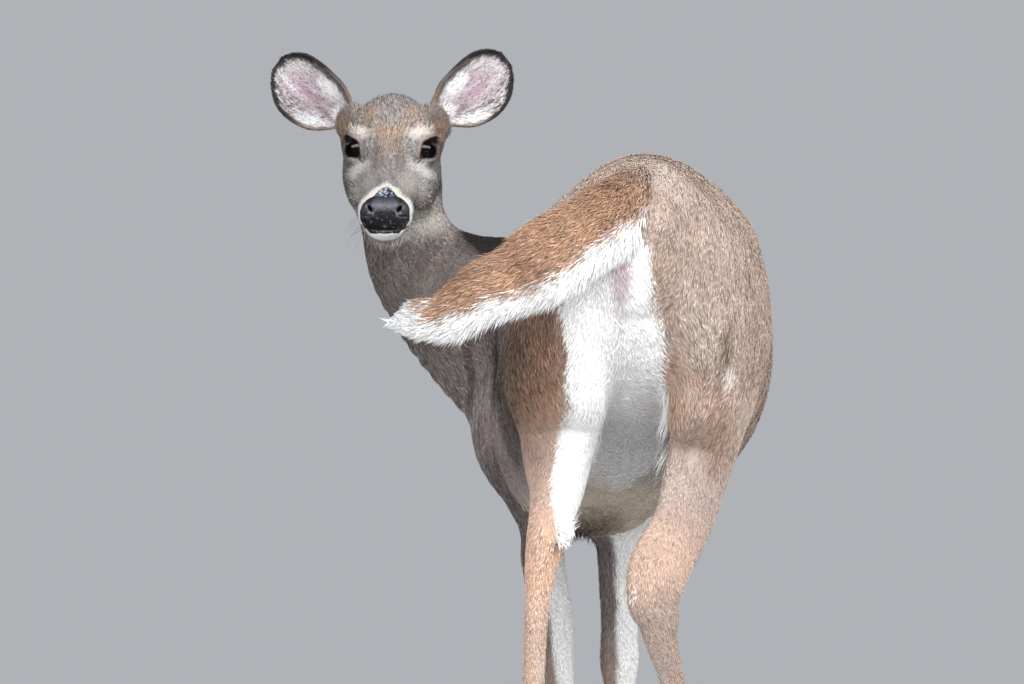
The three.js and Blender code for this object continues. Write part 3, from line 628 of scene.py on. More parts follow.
def grow_skin():
    """One closed skin: a coarse body and a fine head, bridged behind the jaw."""
    low, high = np.array(CAD_BOX[0]), np.array(CAD_BOX[1])
    points, quads = shell(low - 0.012, high + 0.012, BODY_CELL, 3, 0.013)
    body = relax(points, quads, BODY_ROUNDS), quads
    points, quads = shell(HEAD_ORIGIN - HEAD_ROOM[0], HEAD_ORIGIN + HEAD_ROOM[1], HEAD_CELL, 4, 0.0055)
    head = relax(points, quads, HEAD_ROUNDS), quads
    skin = half_skin(*body, False)
    other = half_skin(*head, True)
    mesh = bpy.data.meshes.new("skin")
    other.to_mesh(mesh)
    skin.from_mesh(mesh)
    rims = [e for e in skin.edges if e.is_boundary]
    bmesh.ops.bridge_loops(skin, edges=rims)
    bmesh.ops.triangulate(skin, faces=[f for f in skin.faces if len(f.verts) > 4])
    skin.to_mesh(mesh)
    skin.free()
    other.free()
    mesh.shade_smooth()
    return mesh


def read(collection, name, kind, width):
    """A mesh's values of one name, as an array with width numbers in a row."""
    out = np.empty(len(collection) * width, kind)
    collection.foreach_get(name, out)
    return out.reshape(-1, width) if width > 1 else out


# ---- places on the body

SWEEPS = [trunk, neck, skull, tail, *legs]
TRUNK_PART, NECK_PART, HEAD_PART, TAIL_PART = 0, 1, 2, 3
HIND_LEFT_PART, HIND_RIGHT_PART, FORE_LEFT_PART, FORE_RIGHT_PART = 4, 5, 6, 7
HIND_PARTS, FORE_PARTS = (HIND_LEFT_PART, HIND_RIGHT_PART), (FORE_LEFT_PART, FORE_RIGHT_PART)
LIE_BLEND = 0.012  # how far the lie of one part reaches into the next
DOWN = np.array([0, 0, -1.0])
REAR = np.array([0, -1.0, 0])


def survey(points, normals):
    """For each point: its part, share along, rise and side of that part, and the lie of the hair."""
    found = [in_blocks(points, sweep.measure).T for sweep in SWEEPS]
    found = [(*f[:4], f[4:].T) for f in found]
    gap = np.stack([f[0] for f in found])
    part = gap.argmin(0)
    rows = np.arange(len(points))
    share, rise, side = (np.stack([f[k] for f in found])[part, rows] for k in (1, 2, 3))
    weight = np.exp(-(gap - gap.min(0)) / LIE_BLEND)
    x, y, z = points.T
    outer = np.abs(normals[:, 0])
    ways = [  # in the order of the parts
        -found[0][4] + DOWN * (0.25 + 0.5 * step(-0.15, -0.36, y) + 0.25 * outer)[:, None],
        -found[1][4] + DOWN * 0.15,
        -FACE + DOWN * 0.12 * outer[:, None],
        found[3][4] + DOWN * (0.35 * np.clip(-found[3][2], 0, 1))[:, None],
    ]
    upper = step(0.42, 0.62, z)[:, None]
    for k in HIND_PARTS + FORE_PARTS:
        back = 1 if k in HIND_PARTS else 0.3
        ways.append(found[k][4] * (1.05 - 0.3 * upper) + REAR * 0.75 * upper * back)
    lie = sum(w[:, None] * unit(v) for w, v in zip(weight, ways))
    patch = white_patch(points)[:, None] * step(-0.1, -0.25, y)[:, None]
    outward = np.stack([0.5 * np.tanh((x - 0.105) / 0.03) * step(0.73, 0.66, z), 0 * x, -np.ones_like(x)], 1)
    lie = lie * (1 - patch) + (unit(lie) * 0.3 + outward) * patch
    return part, share, rise, side, unit(across(lie, normals))


def part_angle(rise, side):
    """The share of a turn round a part."""
    return np.arctan2(side, rise) / (2 * math.pi) % 1


# ---- markings

TAN = np.array([0.40, 0.30, 0.25])
SAND = np.array([0.475, 0.385, 0.33])
RUSSET = np.array([0.27, 0.155, 0.10])
RUFOUS = np.array([0.44, 0.265, 0.172])
GREY_BROWN = np.array([0.155, 0.130, 0.123])
ASH = np.array([0.265, 0.24, 0.232])
UMBER = np.array([0.115, 0.078, 0.056])
SABLE = np.array([0.028, 0.024, 0.024])
WHITE = np.array([0.95, 0.945, 0.95])
CREAM = np.array([0.76, 0.71, 0.65])
MAUVE = np.array([0.52, 0.38, 0.44])
# the pale grey of painted shade in the partings of the white fur
PEARL_SHADE = np.array([0.62, 0.60, 0.66])
PINK = np.array([0.50, 0.33, 0.31])
ORANGE = np.array([0.47, 0.30, 0.19])
SHIN = np.array([0.46, 0.36, 0.315])
# the hock's colour: warm coat, made paler as a painted highlight
WARM_HOCK_HIGHLIGHT = np.array([0.60, 0.43, 0.34])

# The white of the hindquarters: heights above the floor with its left and right edges.
PATCH = np.array(
    [
        (0.34, 0.062, 0.09),
        (0.38, 0.050, 0.10),
        (0.42, 0.043, 0.11),
        (0.455, 0.044, 0.135),
        (0.482, 0.046, 0.166),
        (0.53, 0.056, 0.171),
        (0.595, 0.058, 0.162),
        (0.64, 0.050, 0.155),
        (0.682, 0.085, 0.150),
        (0.709, 0.112, 0.148),
        (0.728, 0.130, 0.1385),
        (0.74, 0.136, 0.134),
    ]
)


def white_patch(p):
    """1 on the white of the hindquarters and the insides of the thighs, 0 on the brown."""
    x, y, z = p.T
    ragged = 0.0035 * wobble(p, 0.03, 3) + 0.0015 * wobble(p, 0.009, 4)
    inside = np.minimum(x - patch_edge(z, 1), patch_edge(z, 2) - x) + ragged
    return step(-0.002, 0.003, inside) * step(0.738, 0.722, z) * step(0.02, -0.06, y) * step(0.372, 0.39, z)


def patch_edge(z, column):
    """The white patch's left or right edge at each height, column 1 or 2 of PATCH."""
    return np.interp(z, PATCH[:, 0], PATCH[:, column])


def ovals(colour, x, y, rows, where=1):
    """Lays soft ovals of colour over one another, from rows like those of RUMP_MARKS."""
    for tone, strength, middle_x, middle_y, reach_x, reach_y, soft in rows:
        spot = blob(x, y, middle_x, middle_y, reach_x, reach_y, soft)
        colour = mix(colour, tone, strength * spot * where)
    return colour


# Soft ovals seen from behind: colour, strength, middle, half sizes and softness, in metres.
RUMP_MARKS = [
    (CREAM, 0.7, 0.238, 0.562, 0.007, 0.010, 0.5),
    (RUSSET, 0.6, 0.228, 0.49, 0.016, 0.045, 0.8),
]


def tan_coat(p):
    """The warm coat of the hindquarters, with the left thigh redder and darkened by painted shade, painted
    shade in a fold of it, and the marks of the right one.
    """
    x, y, z = p.T
    rear = step(-0.12, -0.2, y)
    tan = mix(fill(TAN, p), SAND, 0.5 + 0.5 * wobble(p, 0.07, 6))
    tan = mix(tan, TAN * 0.92, step(0.2, 0.29, x) * 0.7)
    tan = tan * (1 + 0.10 * wobble(p * [1, 1, 0.7], 0.028, 17))[:, None]
    # the left thigh's rear strip is redder coat deepened with painted shade, and its outer side is painted
    # dark as shade
    tan = mix(tan, RUSSET, 0.88 * step(0.08, 0.035, x) * step(0.72, 0.62, z) * step(0.42, 0.55, z) * rear)
    tan = mix(tan, UMBER, 0.75 * step(0.03, -0.005, x) * step(0.68, 0.60, z) * step(0.42, 0.5, z) * rear)
    inner = x - patch_edge(z, 2) + 0.006 * wobble(p, 0.03, 18)
    warm = step(0.045, 0.005, inner) * band(0.5, 0.69, 0.04, z) * step(-0.01, 0, inner)
    tan = mix(tan, RUSSET * 1.25, 0.5 * warm * rear)
    tan = mix(tan, SAND * 1.1, 0.55 * blob(x, z, 0.208, 0.635, 0.032, 0.045, 0.8) * rear)
    leaning = x - 0.12 * (z - 0.585)
    tan = mix(tan, UMBER * 1.3, 0.6 * blob(leaning, z, 0.232, 0.585, 0.007, 0.034, 0.7) * rear)
    tan = ovals(tan, x, z, RUMP_MARKS, rear)
    tan = mix(tan, TAN * 1.4, 0.55 * step(0.15, 0.09, x) * step(0.74, 0.78, z) * rear)
    # painted shade: a thin dark line along a fold of the left thigh
    crease_shade = bell(z - 0.552 - 0.1 * (x - 0.035) - 0.002 * wobble(p, 0.02, 19), 0.0022)
    return mix(tan, UMBER, 0.7 * crease_shade * band(0.012, 0.052, 0.008, x) * rear)


def chest_and_flank(colour, p, n):
    """Painted light on the left side of the chest, painted shade in the dip behind it, and painted shade in
    two folds of the skin.
    """
    x, y, z = p.T
    # painted light: the chest's left side, which faces away from the key light, made paler
    chest_light = step(0.1, 0.2, y) * step(0.66, 0.60, z) * step(-0.2, -0.7, n[:, 0] + 0.4 * n[:, 1])
    colour = colour * (1 + 0.95 * chest_light)[:, None]
    # painted shade: a near-black dip on the left flank behind the chest, facing away from the light
    hollow_shade = band(-0.16, 0.04, 0.05, y) * step(-0.02, 0.03, x + 0.04) * step(0.72, 0.60, z) * (n[:, 0] < 0)
    colour = mix(colour, UMBER * [0.34, 0.22, 0.18], 0.92 * hollow_shade)
    # painted shade: two dark lines down the left side where the skin folds
    for middle in (-0.053, -0.022):
        line = bell(x - middle - 0.004 * wobble(p, 0.07, 20), 0.006) * (n[:, 1] < 0)
        colour = mix(colour, UMBER * 0.3, 0.9 * line * band(0.57, 0.655, 0.02, z) * step(-0.1, 0, y))
    return colour


def top_line(colour, p, part, share, rise):
    """Dark from the withers up the crest, and faintly along the back."""
    x, y, z = p.T
    on_trunk = part == TRUNK_PART
    crest = (part == NECK_PART) * step(0.62, 0.90, rise) * step(0.60, 0.35, share)
    withers = on_trunk * step(0.72, 0.94, rise) * step(0.58, 0.76, share)
    slope = z - 0.752 + 0.9 * (x + 0.0315) + 0.004 * wobble(p, 0.02, 26)
    shoulder = step(-0.004, 0.012, slope) * step(-0.078, -0.056, x)
    shoulder = shoulder * step(0.05, 0.12, y) * step(0.685, 0.725, z)
    colour = mix(colour, SABLE * 0.6, np.clip(crest + withers + shoulder, 0, 1) * 0.97)
    back = on_trunk * step(0.93, 1.0, rise) * step(0.72, 0.5, share) * step(0.1, 0.3, share)
    return mix(colour, UMBER, 0.12 * back)


def underside(colour, p, n, part, share, rise):
    """Belly, with painted shade high between the legs, brisket, and painted shade in the folds of the flank
    before each thigh.
    """
    x, y, z = p.T
    on_trunk = part == TRUNK_PART
    under = on_trunk * step(-0.55, -0.80, rise) * step(0.92, 0.80, share)
    # painted shade: the belly's white is painted grey high between the legs and creamier lower down
    belly = mix(fill(WHITE * [0.39, 0.37, 0.35], p), CREAM * [0.80, 0.74, 0.66], step(0.475, 0.44, z))
    belly = mix(belly, UMBER * 1.3, 0.85 * blob(x, z, 0.085, 0.413, 0.042, 0.018, 0.7))
    colour = mix(colour, belly, under)
    brisket = on_trunk * step(0.84, 0.95, share) * step(-0.5, -0.9, rise)
    colour = mix(colour, GREY_BROWN * 0.62, brisket * 0.6)
    # painted shade: dark folds of the flank just in front of each thigh
    fold = bell(y + 0.115, 0.02) * step(0.62, 0.5, z) * step(0.38, 0.45, z)
    return mix(colour, UMBER, 0.55 * fold * (1 - under) * step(0.3, 0.6, np.abs(n[:, 0])))


def white_rump(colour, p):
    """The white of the hindquarters with its creamy edge and painted shade towards the groin, the vent, and
    painted shade in the partings of the fur.
    """
    x, y, z = p.T
    patch = white_patch(p)
    # painted shade: the white is darker deep between the thighs, towards the groin
    colour = mix(colour, mix(fill(WHITE, p), WHITE * 0.70, step(-0.24, -0.12, y)), patch)
    colour = mix(colour, CREAM, 0.4 * band(0.12, 0.88, 0.1, patch))
    rear = step(-0.3, -0.36, y)
    colour = mix(colour, MAUVE, 0.75 * (blob(x, z, 0.1165, 0.672, 0.011, 0.034, 0.6) * rear))
    # painted shade: pale grey lines where the thighs meet and along a fold of the white fur
    parting_shade = bell(x - 0.117, 0.004) * band(0.53, 0.64, 0.02, z)
    level = 0.628 + 0.0016 * wobble(p, 0.02, 24)
    parting_shade = parting_shade + bell(z - level, 0.0016) * band(0.108, 0.145, 0.008, x)
    return mix(colour, PEARL_SHADE, 0.5 * np.clip(parting_shade, 0, 1) * rear)


def body_colour(p, n, part, share, rise):
    """Colours of trunk, neck and legs."""
    x, y = p[:, 0], p[:, 1]
    front = step(-0.16, 0.10, y - 0.2 * step(0.15, 0.25, x))
    grey = GREY_BROWN * (1 + 0.12 * wobble(p, 0.05, 5)[:, None])
    colour = mix(tan_coat(p), grey, front)
    colour = chest_and_flank(colour, p, n)
    colour = top_line(colour, p, part, share, rise)
    colour = underside(colour, p, n, part, share, rise)
    for k in HIND_PARTS + FORE_PARTS:
        own = part == k
        high, out = p[own, 2], n[own]
        if k in HIND_PARTS:
            painted = hind_leg(colour[own], high, out, k == HIND_LEFT_PART)
        else:
            painted = fore_leg(colour[own], high, out)
        colour[own] = mix(painted, UMBER * 1.4, 0.6 * step(0.055, 0.03, high))
    return white_rump(colour, p)


def hind_leg(colour, high, n, is_left):
    """A hind leg's colours: the body's above, then shin and warmer hock with a painted highlight. The left
    leg's lower part and a band round the bottom of the thigh are brightened as painted light.
    """
    inner = step(0.1, -0.5, n[:, 0] * (-1 if is_left else 1))
    low = mix(fill(SHIN, n), TAN * 1.15, step(0.34, 0.24, high))
    # a warmer, paler hock: orange coat with a painted highlight on its knob
    low = mix(low, WARM_HOCK_HIGHLIGHT, blob(high, n[:, 1], 0.36, -1, 0.055, 0.9, 0.5))
    # painted light: the left leg's lower part, which the key light reaches less, is made brighter
    low = low * ([1.33, 1.26, 1.2] if is_left else [1.0, 1.01, 1.03])
    colour = mix(colour, low, step(0.54 if is_left else 0.51, 0.41, high))
    # painted light: brightens the bottom of the thigh, where it faces down into shade, and a little of the
    # gaskin below
    paler = 0.32 * band(0.488, 0.56, 0.02, high) + 0.14 * band(0.43, 0.488, 0.02, high)
    colour = colour * (1 + paler)[:, None]
    return mix(colour, CREAM * 0.9, 0.3 * (inner * step(0.06, 0.14, high) * step(0.30, 0.24, high)))


def fore_leg(colour, high, n):
    """A foreleg's colours: grey-brown, with white behind on the side that faces right."""
    brown = mix(fill(GREY_BROWN * 0.95, n), TAN * 0.8, step(0.34, 0.2, high))
    colour = mix(colour, brown, step(0.56, 0.48, high))
    white = step(-0.30, 0.02, n[:, 0]) * step(0.0, -0.25, n[:, 1] - 0.35) * step(0.06, 0.16, high)
    return mix(colour, WHITE * 0.8, white * step(0.50, 0.42, high))


def tail_colour(p, n, share, rise):
    """Rufous above, darker at the root, and white below, at the tip and in front."""
    top = mix(fill(RUFOUS, p), RUSSET * 0.8, 0.55 * step(0.0, 0.9, wobble(p * [1, 1, 1.6], 0.035, 9)))
    top = mix(top, RUSSET * 0.9, 0.88 * step(0.45, 0.12, share))
    low = -0.42 + 0.30 * step(0.55, 0.9, share) + 0.08 * wobble(p, 0.02, 10)
    tip = step(0.80, 0.90, share + 0.05 * wobble(p, 0.02, 2))
    white = np.clip(step(low + 0.17, low - 0.17, rise) + tip, 0, 1)
    white = np.maximum(white, step(-0.05, 0.35, n[:, 1]) * step(0.22, 0.32, share) * step(0.45, 0.1, rise))
    return mix(top, WHITE, white)


# Heights above the eyes with the nose pad's half widths there, both in millimetres.
PAD = np.array([
    (-114, 0), (-112.5, 17), (-106, 24.5), (-96.5, 30), (-85, 30.5), (-78, 28),
    (-72, 22.5), (-67, 14.5), (-61, 10.5), (-57, 7.5), (-53.5, 0), (-44, -12),
])


def pad_edge(f, o, h):
    """Millimetres inside the nose pad's outline, less than 0 outside it."""
    half = np.interp(h, PAD[:, 0], PAD[:, 1])
    room = np.minimum(half - np.abs(o), h + 113)
    return np.where(f > 92, room, -30.0)


# Soft ovals on the face, out from its middle and above the eyes in millimetres, on both sides alike.
CHEEK_MARKS = [
    (UMBER * 1.3, 0.45, 15, -12, 7, 20, 0.9),
    (ASH * 1.3, 0.5, 27, -42, 9, 16, 0.9),
]


def face_colour(p, n):
    """Colours of the head."""
    f, u, o = head_place(p)
    m = np.abs(o)
    h = eye_height(p)
    ahead = n @ FACE * 0.6 + n @ BROW * 0.8
    colour = mix(fill(GREY_BROWN * 0.98, p), ASH, step(0.05, 0.6, ahead))
    colour = mix(colour, ASH * 1.22, step(0.3, 0.7, ahead) * step(4, 22, h))
    speck = step(-0.1, 0.6, 0.4 * wobble(p, 0.008, 12) + 0.8 * wobble(p, 0.0035, 13))
    colour = colour * (1.16 - 0.55 * speck)[:, None]
    # rufous: crown sides, the middle of the brow and round the ears
    warm = 0.55 * blob(m, h, 26, 44, 12, 14, 0.7) + 0.45 * blob(m, h, 5, 10, 11, 16, 0.8)
    warm = warm + 0.5 * blob(m, h, 17, 22, 14, 5, 0.9) + 0.4 * blob(m, h, 64, 28, 9, 14, 0.6)
    colour = mix(colour, UMBER * 1.35, 0.8 * blob(m, h, 54, 26, 13, 26, 0.6))
    colour = mix(colour, ORANGE, np.clip(warm, 0, 0.8) * step(-0.2, 0.3, ahead))
    colour = ovals(colour, m, h, CHEEK_MARKS)
    # pale fur above and below each eye
    colour = mix(colour, CREAM * 0.95, 0.9 * blob(m, h - 0.2 * (m - 33), 35, 20, 15, 7.5, 0.5) * (f > -40))
    colour = mix(colour, CREAM * 0.62, 0.5 * blob(m, h, 23, 6, 5, 15, 0.8) * (f > -40))
    pale = CREAM * np.array([0.92, 0.95, 1.02])
    colour = mix(colour, pale, 0.85 * blob(m, h + 0.3 * (m - 38), 38, -24, 14, 9, 0.6))
    colour = mix(colour, CREAM * 0.7, 0.55 * blob(m, h, 30, -44, 13, 16, 0.8))
    for s in (LEFT, RIGHT):
        colour = eyelid_colour(colour, p, f, s)
    return muzzle_colour(colour, p, f, u, o, h)


def eyelid_colour(colour, p, f, s):
    """Bare pink skin above an eye, and the black rim and corner of its lids."""
    gap, a, b = lid_gap(p, s)
    close = (norm(p - EYE_MIDDLES[s]) < 0.027) & (f > -30)
    colour = mix(colour, PINK * 0.85, 0.6 * (band(5, 18, 4, gap) * close * step(-5, 20, b)))
    narrow = 2.0 * step(10, 30, b)
    rim = step(5.0 - narrow, 2.5 - narrow, gap) * close
    colour = mix(colour, np.array([0.045, 0.03, 0.03]), rim * 0.95)
    return mix(colour, SABLE * 1.5, 0.9 * (blob(a, b, LID_REACH, -6, 14, 6, 0.5) * close))


def muzzle_colour(colour, p, f, u, o, h):
    """Cream round the nose, dark sides of the lip, white chin and pale throat."""
    m = np.abs(o)
    edge = pad_edge(np.maximum(f, 97), o, h)
    snout = step(70, 84, f)
    reach = 2.4 + 8.6 * step(-90, -66, h)
    ragged = 1.6 * wobble(p, 0.006, 14)
    around = step(-reach, -0.45 * reach, edge + ragged * reach / 12) * step(-110, -100, h)
    colour = mix(colour, mix(CREAM, WHITE * 0.92, step(-70, -90, h)), 0.9 * around * snout)
    smudge = blob(m, h, 36, -92, 6, 14, 0.6) * snout
    colour = mix(colour, UMBER * 1.5, 0.55 * smudge * (1 - step(-7, -3, edge)))
    line = mouth_line(f)
    below = step(0.5, -1.5, u - line) * step(55, 75, f)
    chin = mix(fill(WHITE, p), CREAM, step(-122, -130, h))
    colour = mix(colour, chin * 0.95, below * step(27, 18, m + 1.5 * wobble(p, 0.008, 15)))
    colour = mix(colour, ASH * 1.1, 0.7 * below * step(18, 27, m))
    throat = step(-58, -66, u) * step(-40, 10, f) * (1 - step(60, 80, f))
    colour = mix(colour, CREAM * 0.75, 0.65 * throat)
    colour = mix(colour, UMBER, 0.85 * blob(o, h, 1, -127, 3.5, 2.6, 0.5) * step(104, 110, f))
    return mix(colour, SABLE * 1.2, 0.9 * (bell(u - line, 1.2) * step(78, 90, f)))


def is_close_to_head(p, part):
    """Whether points are near the head, and on neither the trunk nor a leg."""
    return (np.abs(p - HEAD_ORIGIN).max(-1) < 0.2) & (part != TRUNK_PART) & (part < HIND_LEFT_PART)


def markings(p, n, part, share, rise):
    """The coat's colour at each point."""
    colour = body_colour(p, n, part, share, rise)
    own = part == TAIL_PART
    blend_in = step(0.0, 0.22, share[own] + 0.03 * wobble(p[own], 0.02, 25))
    colour[own] = mix(colour[own], tail_colour(p[own], n[own], share[own], rise[own]), blend_in)
    own = part == NECK_PART
    colour[own] = mix(colour[own], GREY_BROWN * 1.05, 0.5 * step(0.2, -0.6, rise[own]))
    f, u, o = head_place(p)
    on_face = step(-75, -45, f + 0.4 * u) * step(-104, -84, u) * step(84, 68, np.abs(o))
    on_face = on_face * is_close_to_head(p, part)
    own = on_face > 0
    colour[own] = mix(colour[own], face_colour(p[own], n[own]), on_face[own])
    return np.clip(colour, 0.005, 0.95)


# ---- the hair's size


def hair(p, part, share, rise):
    """Length, width and spacing (area per tuft) of the hair at each point, in metres."""
    y, z = p[:, 1], p[:, 2]
    f, u, _ = head_place(p)
    one = np.ones(len(p))
    length, width, room = 0.0135 * one, 0.00127 * one, 8.3e-6 * one
    fore = step(-0.1, 0.1, y)
    length, width = length - 0.0025 * fore, width - 0.0002 * fore
    leg = (part >= HIND_LEFT_PART) * step(0.56, 0.40, z)
    low = step(0.40, 0.22, z)
    length = lerp(length, 0.011 - 0.003 * low, leg)
    width = lerp(width, 0.0011 - 0.0002 * low, leg)
    room = lerp(room, 7.9e-6 - 0.8e-6 * low, leg)
    on_neck = part == NECK_PART
    length = np.where(on_neck, 0.012, length)
    width = np.where(on_neck, 0.0012, width)
    room = np.where(on_neck, 7.4e-6, room)
    on_tail = (part == TAIL_PART) * step(0.02, 0.14, share)
    tail_hair = np.minimum(0.026 + 0.008 * step(-0.2, -0.9, rise), 0.005 + 0.15 * (1 - share))
    length = lerp(length, tail_hair, on_tail)
    width = lerp(width, 0.0015, on_tail)
    room = lerp(room, 2.75e-6, on_tail)
    face = step(-85, -45, f + 0.4 * u) * is_close_to_head(p, part)
    front = step(-20, 110, f)
    eye_near = np.minimum(*[norm(p - EYE_MIDDLES[s]) for s in (LEFT, RIGHT)])
    small = 1 - 0.5 * step(0.040, 0.026, eye_near)
    length = lerp(length, (0.0085 - 0.0046 * front) * small, face)
    width = lerp(width, 0.00105 - 0.0004 * front, face)
    room = lerp(room, 3.6e-6 - 1.4e-6 * front, face)
    return length, width, room


def bare(p, n):
    """1 where no hair grows: the nose pad, the lids' edges and the feet under the hooves' tops."""
    f, _, o = head_place(p)
    out = (pad_edge(f, o, eye_height(p)) > -0.5) * (n @ FACE > -0.1) * 1.0
    for s in (LEFT, RIGHT):
        close = norm(p - EYE_MIDDLES[s]) < 0.026
        out = np.maximum(out, (lid_gap(p, s)[0] < 7) & close)
    return np.maximum(out, p[:, 2] < 0.03)


# ---- tufts

PATCH_SIZE = 0.003  # a tuft's patch in the OFBake map
WIDEST = 0.42  # where along a tuft its one ring of corners lies


def settle(piece, look, slot, *nodes):
    """Gives a piece its look and its body, and hides the solids that it stands for; slot is not used."""
    piece.data.materials.append(LOOKS[look])
    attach(piece, "root")
    if nodes:
        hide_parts(*nodes)


def spindles(
    name, slot, root, normal, lie, length, width, lift, colours, place,
    rings=1, droop=0.0, sink=0.0012, look="coat",
):
    """Thin closed spindles joined in one mesh. colours are the root's, the middle's and the tip's."""
    count = len(root)
    share = np.linspace(0, 1, rings + 2) if rings > 1 else np.array([0, WIDEST, 1.0])
    swell = np.sin(math.pi * share**0.8) ** 0.7
    side = np.cross(normal, lie)
    rows, tones, spots = [], [], []
    for s, w in zip(share, swell):
        height = lift * length * s * (1.7 - 0.7 * s) - sink * (1 - s) ** 2
        middle = root + lie * (length * s)[:, None] + normal * height[:, None]
        middle = middle + DOWN * (droop * length * s * s)[:, None]
        if s < 0.45:
            tone = colours[0] + (colours[1] - colours[0]) * min(1, s / 0.4)
        else:
            tone = colours[1] + (colours[2] - colours[1]) * (s - 0.45) / 0.55
        if s in (0, 1):
            rows.append(middle[:, None])
            tones.append(tone[:, None])
            spots.append(place[:, None] + np.array([0, (s - 0.5) * PATCH_SIZE]))
            continue
        half = (width * w / 2)[:, None]
        ring = [middle - side * half, middle + normal * half * 0.7, middle + side * half]
        rows.append(np.stack(ring, 1))
        tones.append(np.repeat(tone[:, None], 3, 1))
        shift = np.array([(k * PATCH_SIZE / 2, (s - 0.5) * PATCH_SIZE) for k in (-1, 0, 1)])
        spots.append(place[:, None] + shift)
    points, tones, spots = (np.concatenate(v, 1) for v in (rows, tones, spots))
    size = points.shape[1]
    faces = []
    for k in range(3):
        a, b = 1 + k, 1 + (k + 1) % 3
        faces.append((0, b, a))
        for r in range(rings - 1):
            faces += [(a + 3 * r, b + 3 * r, b + 3 * r + 3), (a + 3 * r, b + 3 * r + 3, a + 3 * r + 3)]
        last = 3 * (rings - 1)
        faces.append((a + last, b + last, size - 1))
    faces = (np.arange(count)[:, None, None] * size + np.array(faces)[None]).reshape(-1, 3)
    piece = add_mesh(name, points.reshape(-1, 3), faces)
    paint(piece.data, tones.reshape(-1, 3))
    layer = piece.data.uv_layers.new(name="OFBake", do_init=False)
    flat = np.clip(spots.reshape(-1, 2), 0, 1)
    layer.uv.foreach_set("vector", flat[faces.ravel()].astype(np.float32).ravel())
    settle(piece, look, slot)


def paint(mesh, colours):
    """Stores a colour for each point, which the looks read."""
    layer = mesh.color_attributes.new("coat", "FLOAT_COLOR", "POINT")
    full = np.ones((len(colours), 4), np.float32)
    full[:, :3] = colours
    layer.data.foreach_set("color", full.ravel())


TORN = 0.4  # corners whose rise differs by more belong to different parts


def scatter(points, quads, normals, rows, room):
    """Roots spread over the quads, one for each room of area, with rows of vertex values carried over."""
    corner = points[quads]
    area = norm(np.cross(corner[:, 2] - corner[:, 0], corner[:, 3] - corner[:, 1])) / 2
    wanted = area / room[quads].mean(1)
    number = np.floor(wanted + rng.random(len(quads))).astype(int)
    face = np.repeat(np.arange(len(quads)), number)
    a, b = rng.random((2, len(face)))
    w = np.stack([(1 - a) * (1 - b), a * (1 - b), a * b, (1 - a) * b], 1)
    pick = quads[face]
    carried = (np.concatenate([points, normals, rows], 1)[pick] * w[:, :, None]).sum(1)
    torn = np.ptp(rows[pick, 1], axis=1) > TORN
    carried[torn, 6:9] = rows[pick[torn, 0], :3]
    return carried[:, :3], unit(carried[:, 3:6]), carried[:, 6:], pick[:, 0]


def tuft_tones(base, white, dark, pale, spread, deep=0.80):
    """Root, middle and tip colours of each tuft: a share of them dark, the others paler to the tip."""
    count = len(base)
    tone = base * (1 + spread * rng.normal(size=count))[:, None] * (1 + 0.03 * rng.normal(size=(count, 3)))
    black = ((rng.random(count) < dark) * (1 - white))[:, None]
    tone = base * white[:, None] * (1 + 0.3 * (tone / base - 1)) + tone * (1 - white[:, None])
    root = tone * (deep + (0.95 - deep) * white)[:, None]
    middle = tone * (1.05 - 0.6 * black)
    tip = tone * ((pale - 1) * (1 - white) + 1)[:, None] * (1 - 0.75 * black)
    return [np.clip(v, 0.004, 0.97) for v in (root, middle, tip)]


PIECES = {
    TRUNK_PART: ("trunk", "coat", 3),
    NECK_PART: ("neck", "coat", 2),
    HEAD_PART: ("head", "face", 2),
    TAIL_PART: ("tail", "tail", 1),
    HIND_LEFT_PART: ("hind_left", "coat", 1),
    HIND_RIGHT_PART: ("hind_right", "coat", 1),
    FORE_LEFT_PART: ("fore_left", "coat", 1),
    FORE_RIGHT_PART: ("fore_right", "coat", 1),
}


def locks(owner, share, rise, side):
    """Noise drawn out along the hair: the locks in which the coat lies."""
    place = np.zeros((len(owner), 3))
    for k, sweep in enumerate(SWEEPS):
        own = owner == k
        girth = math.pi * (sweep.high.mean() + sweep.wide.mean())
        place[own, 0] = part_angle(rise[own], side[own]) * girth
        place[own, 1] = share[own] * sweep.start[-1] * 0.25
    return np.clip(1.4 * wobble(place, 0.0055, 41), -1, 1)


def whiteness(colour):
    """1 for white fur, 0 for brown."""
    return step(0.45, 0.75, colour.min(1))


def lay_coat(points, quads, normals, found):
    """Covers the skin with tufts, part by part."""
    part, share, rise, side, lie = found
    length, width, room = hair(points, part, share, rise)
    room = np.where(bare(points, normals) > 0.5, 1.0, room)  # so much room leaves none
    rows = np.concatenate([np.stack([share, rise, side, length, width], 1), lie], 1)
    root, up, values, first = scatter(points, quads, normals, rows, room)
    share, rise, side, length, width = values[:, :5].T
    part, count = part[first], len(root)
    colour = markings(root, up, part, share, rise)
    away = unit(across(values[:, 5:8], up))
    turn = 0.22 * rng.normal(size=count)
    away = unit(away + np.cross(up, away) * turn[:, None])
    length = length * rng.uniform(0.75, 1.15, count)
    width = width * rng.uniform(0.8, 1.2, count)
    lift = rng.uniform(0.07, 0.2, count) + 0.04 * (part == TAIL_PART)
    tones = coat_tones(colour, root[:, 2], up, part, share, rise, side)
    for k, (name, slot, pieces) in PIECES.items():
        own = np.flatnonzero(part == k)
        own = own[np.argsort(share[own], kind="stable")]
        for i, some in enumerate(np.array_split(own, pieces)):
            ends = share[some].min(), share[some].max()
            place = [part_angle(rise[some], side[some]), np.interp(share[some], ends, (0, 1))]
            title = f"coat_{name}" + (f"_{i + 1}" if pieces > 1 else "")
            spindles(
                title, slot, root[some], up[some], away[some], length[some], width[some], lift[some],
                [t[some] for t in tones], np.stack(place, 1) * 0.99 + 0.005, 2 if k == TAIL_PART else 1,
            )


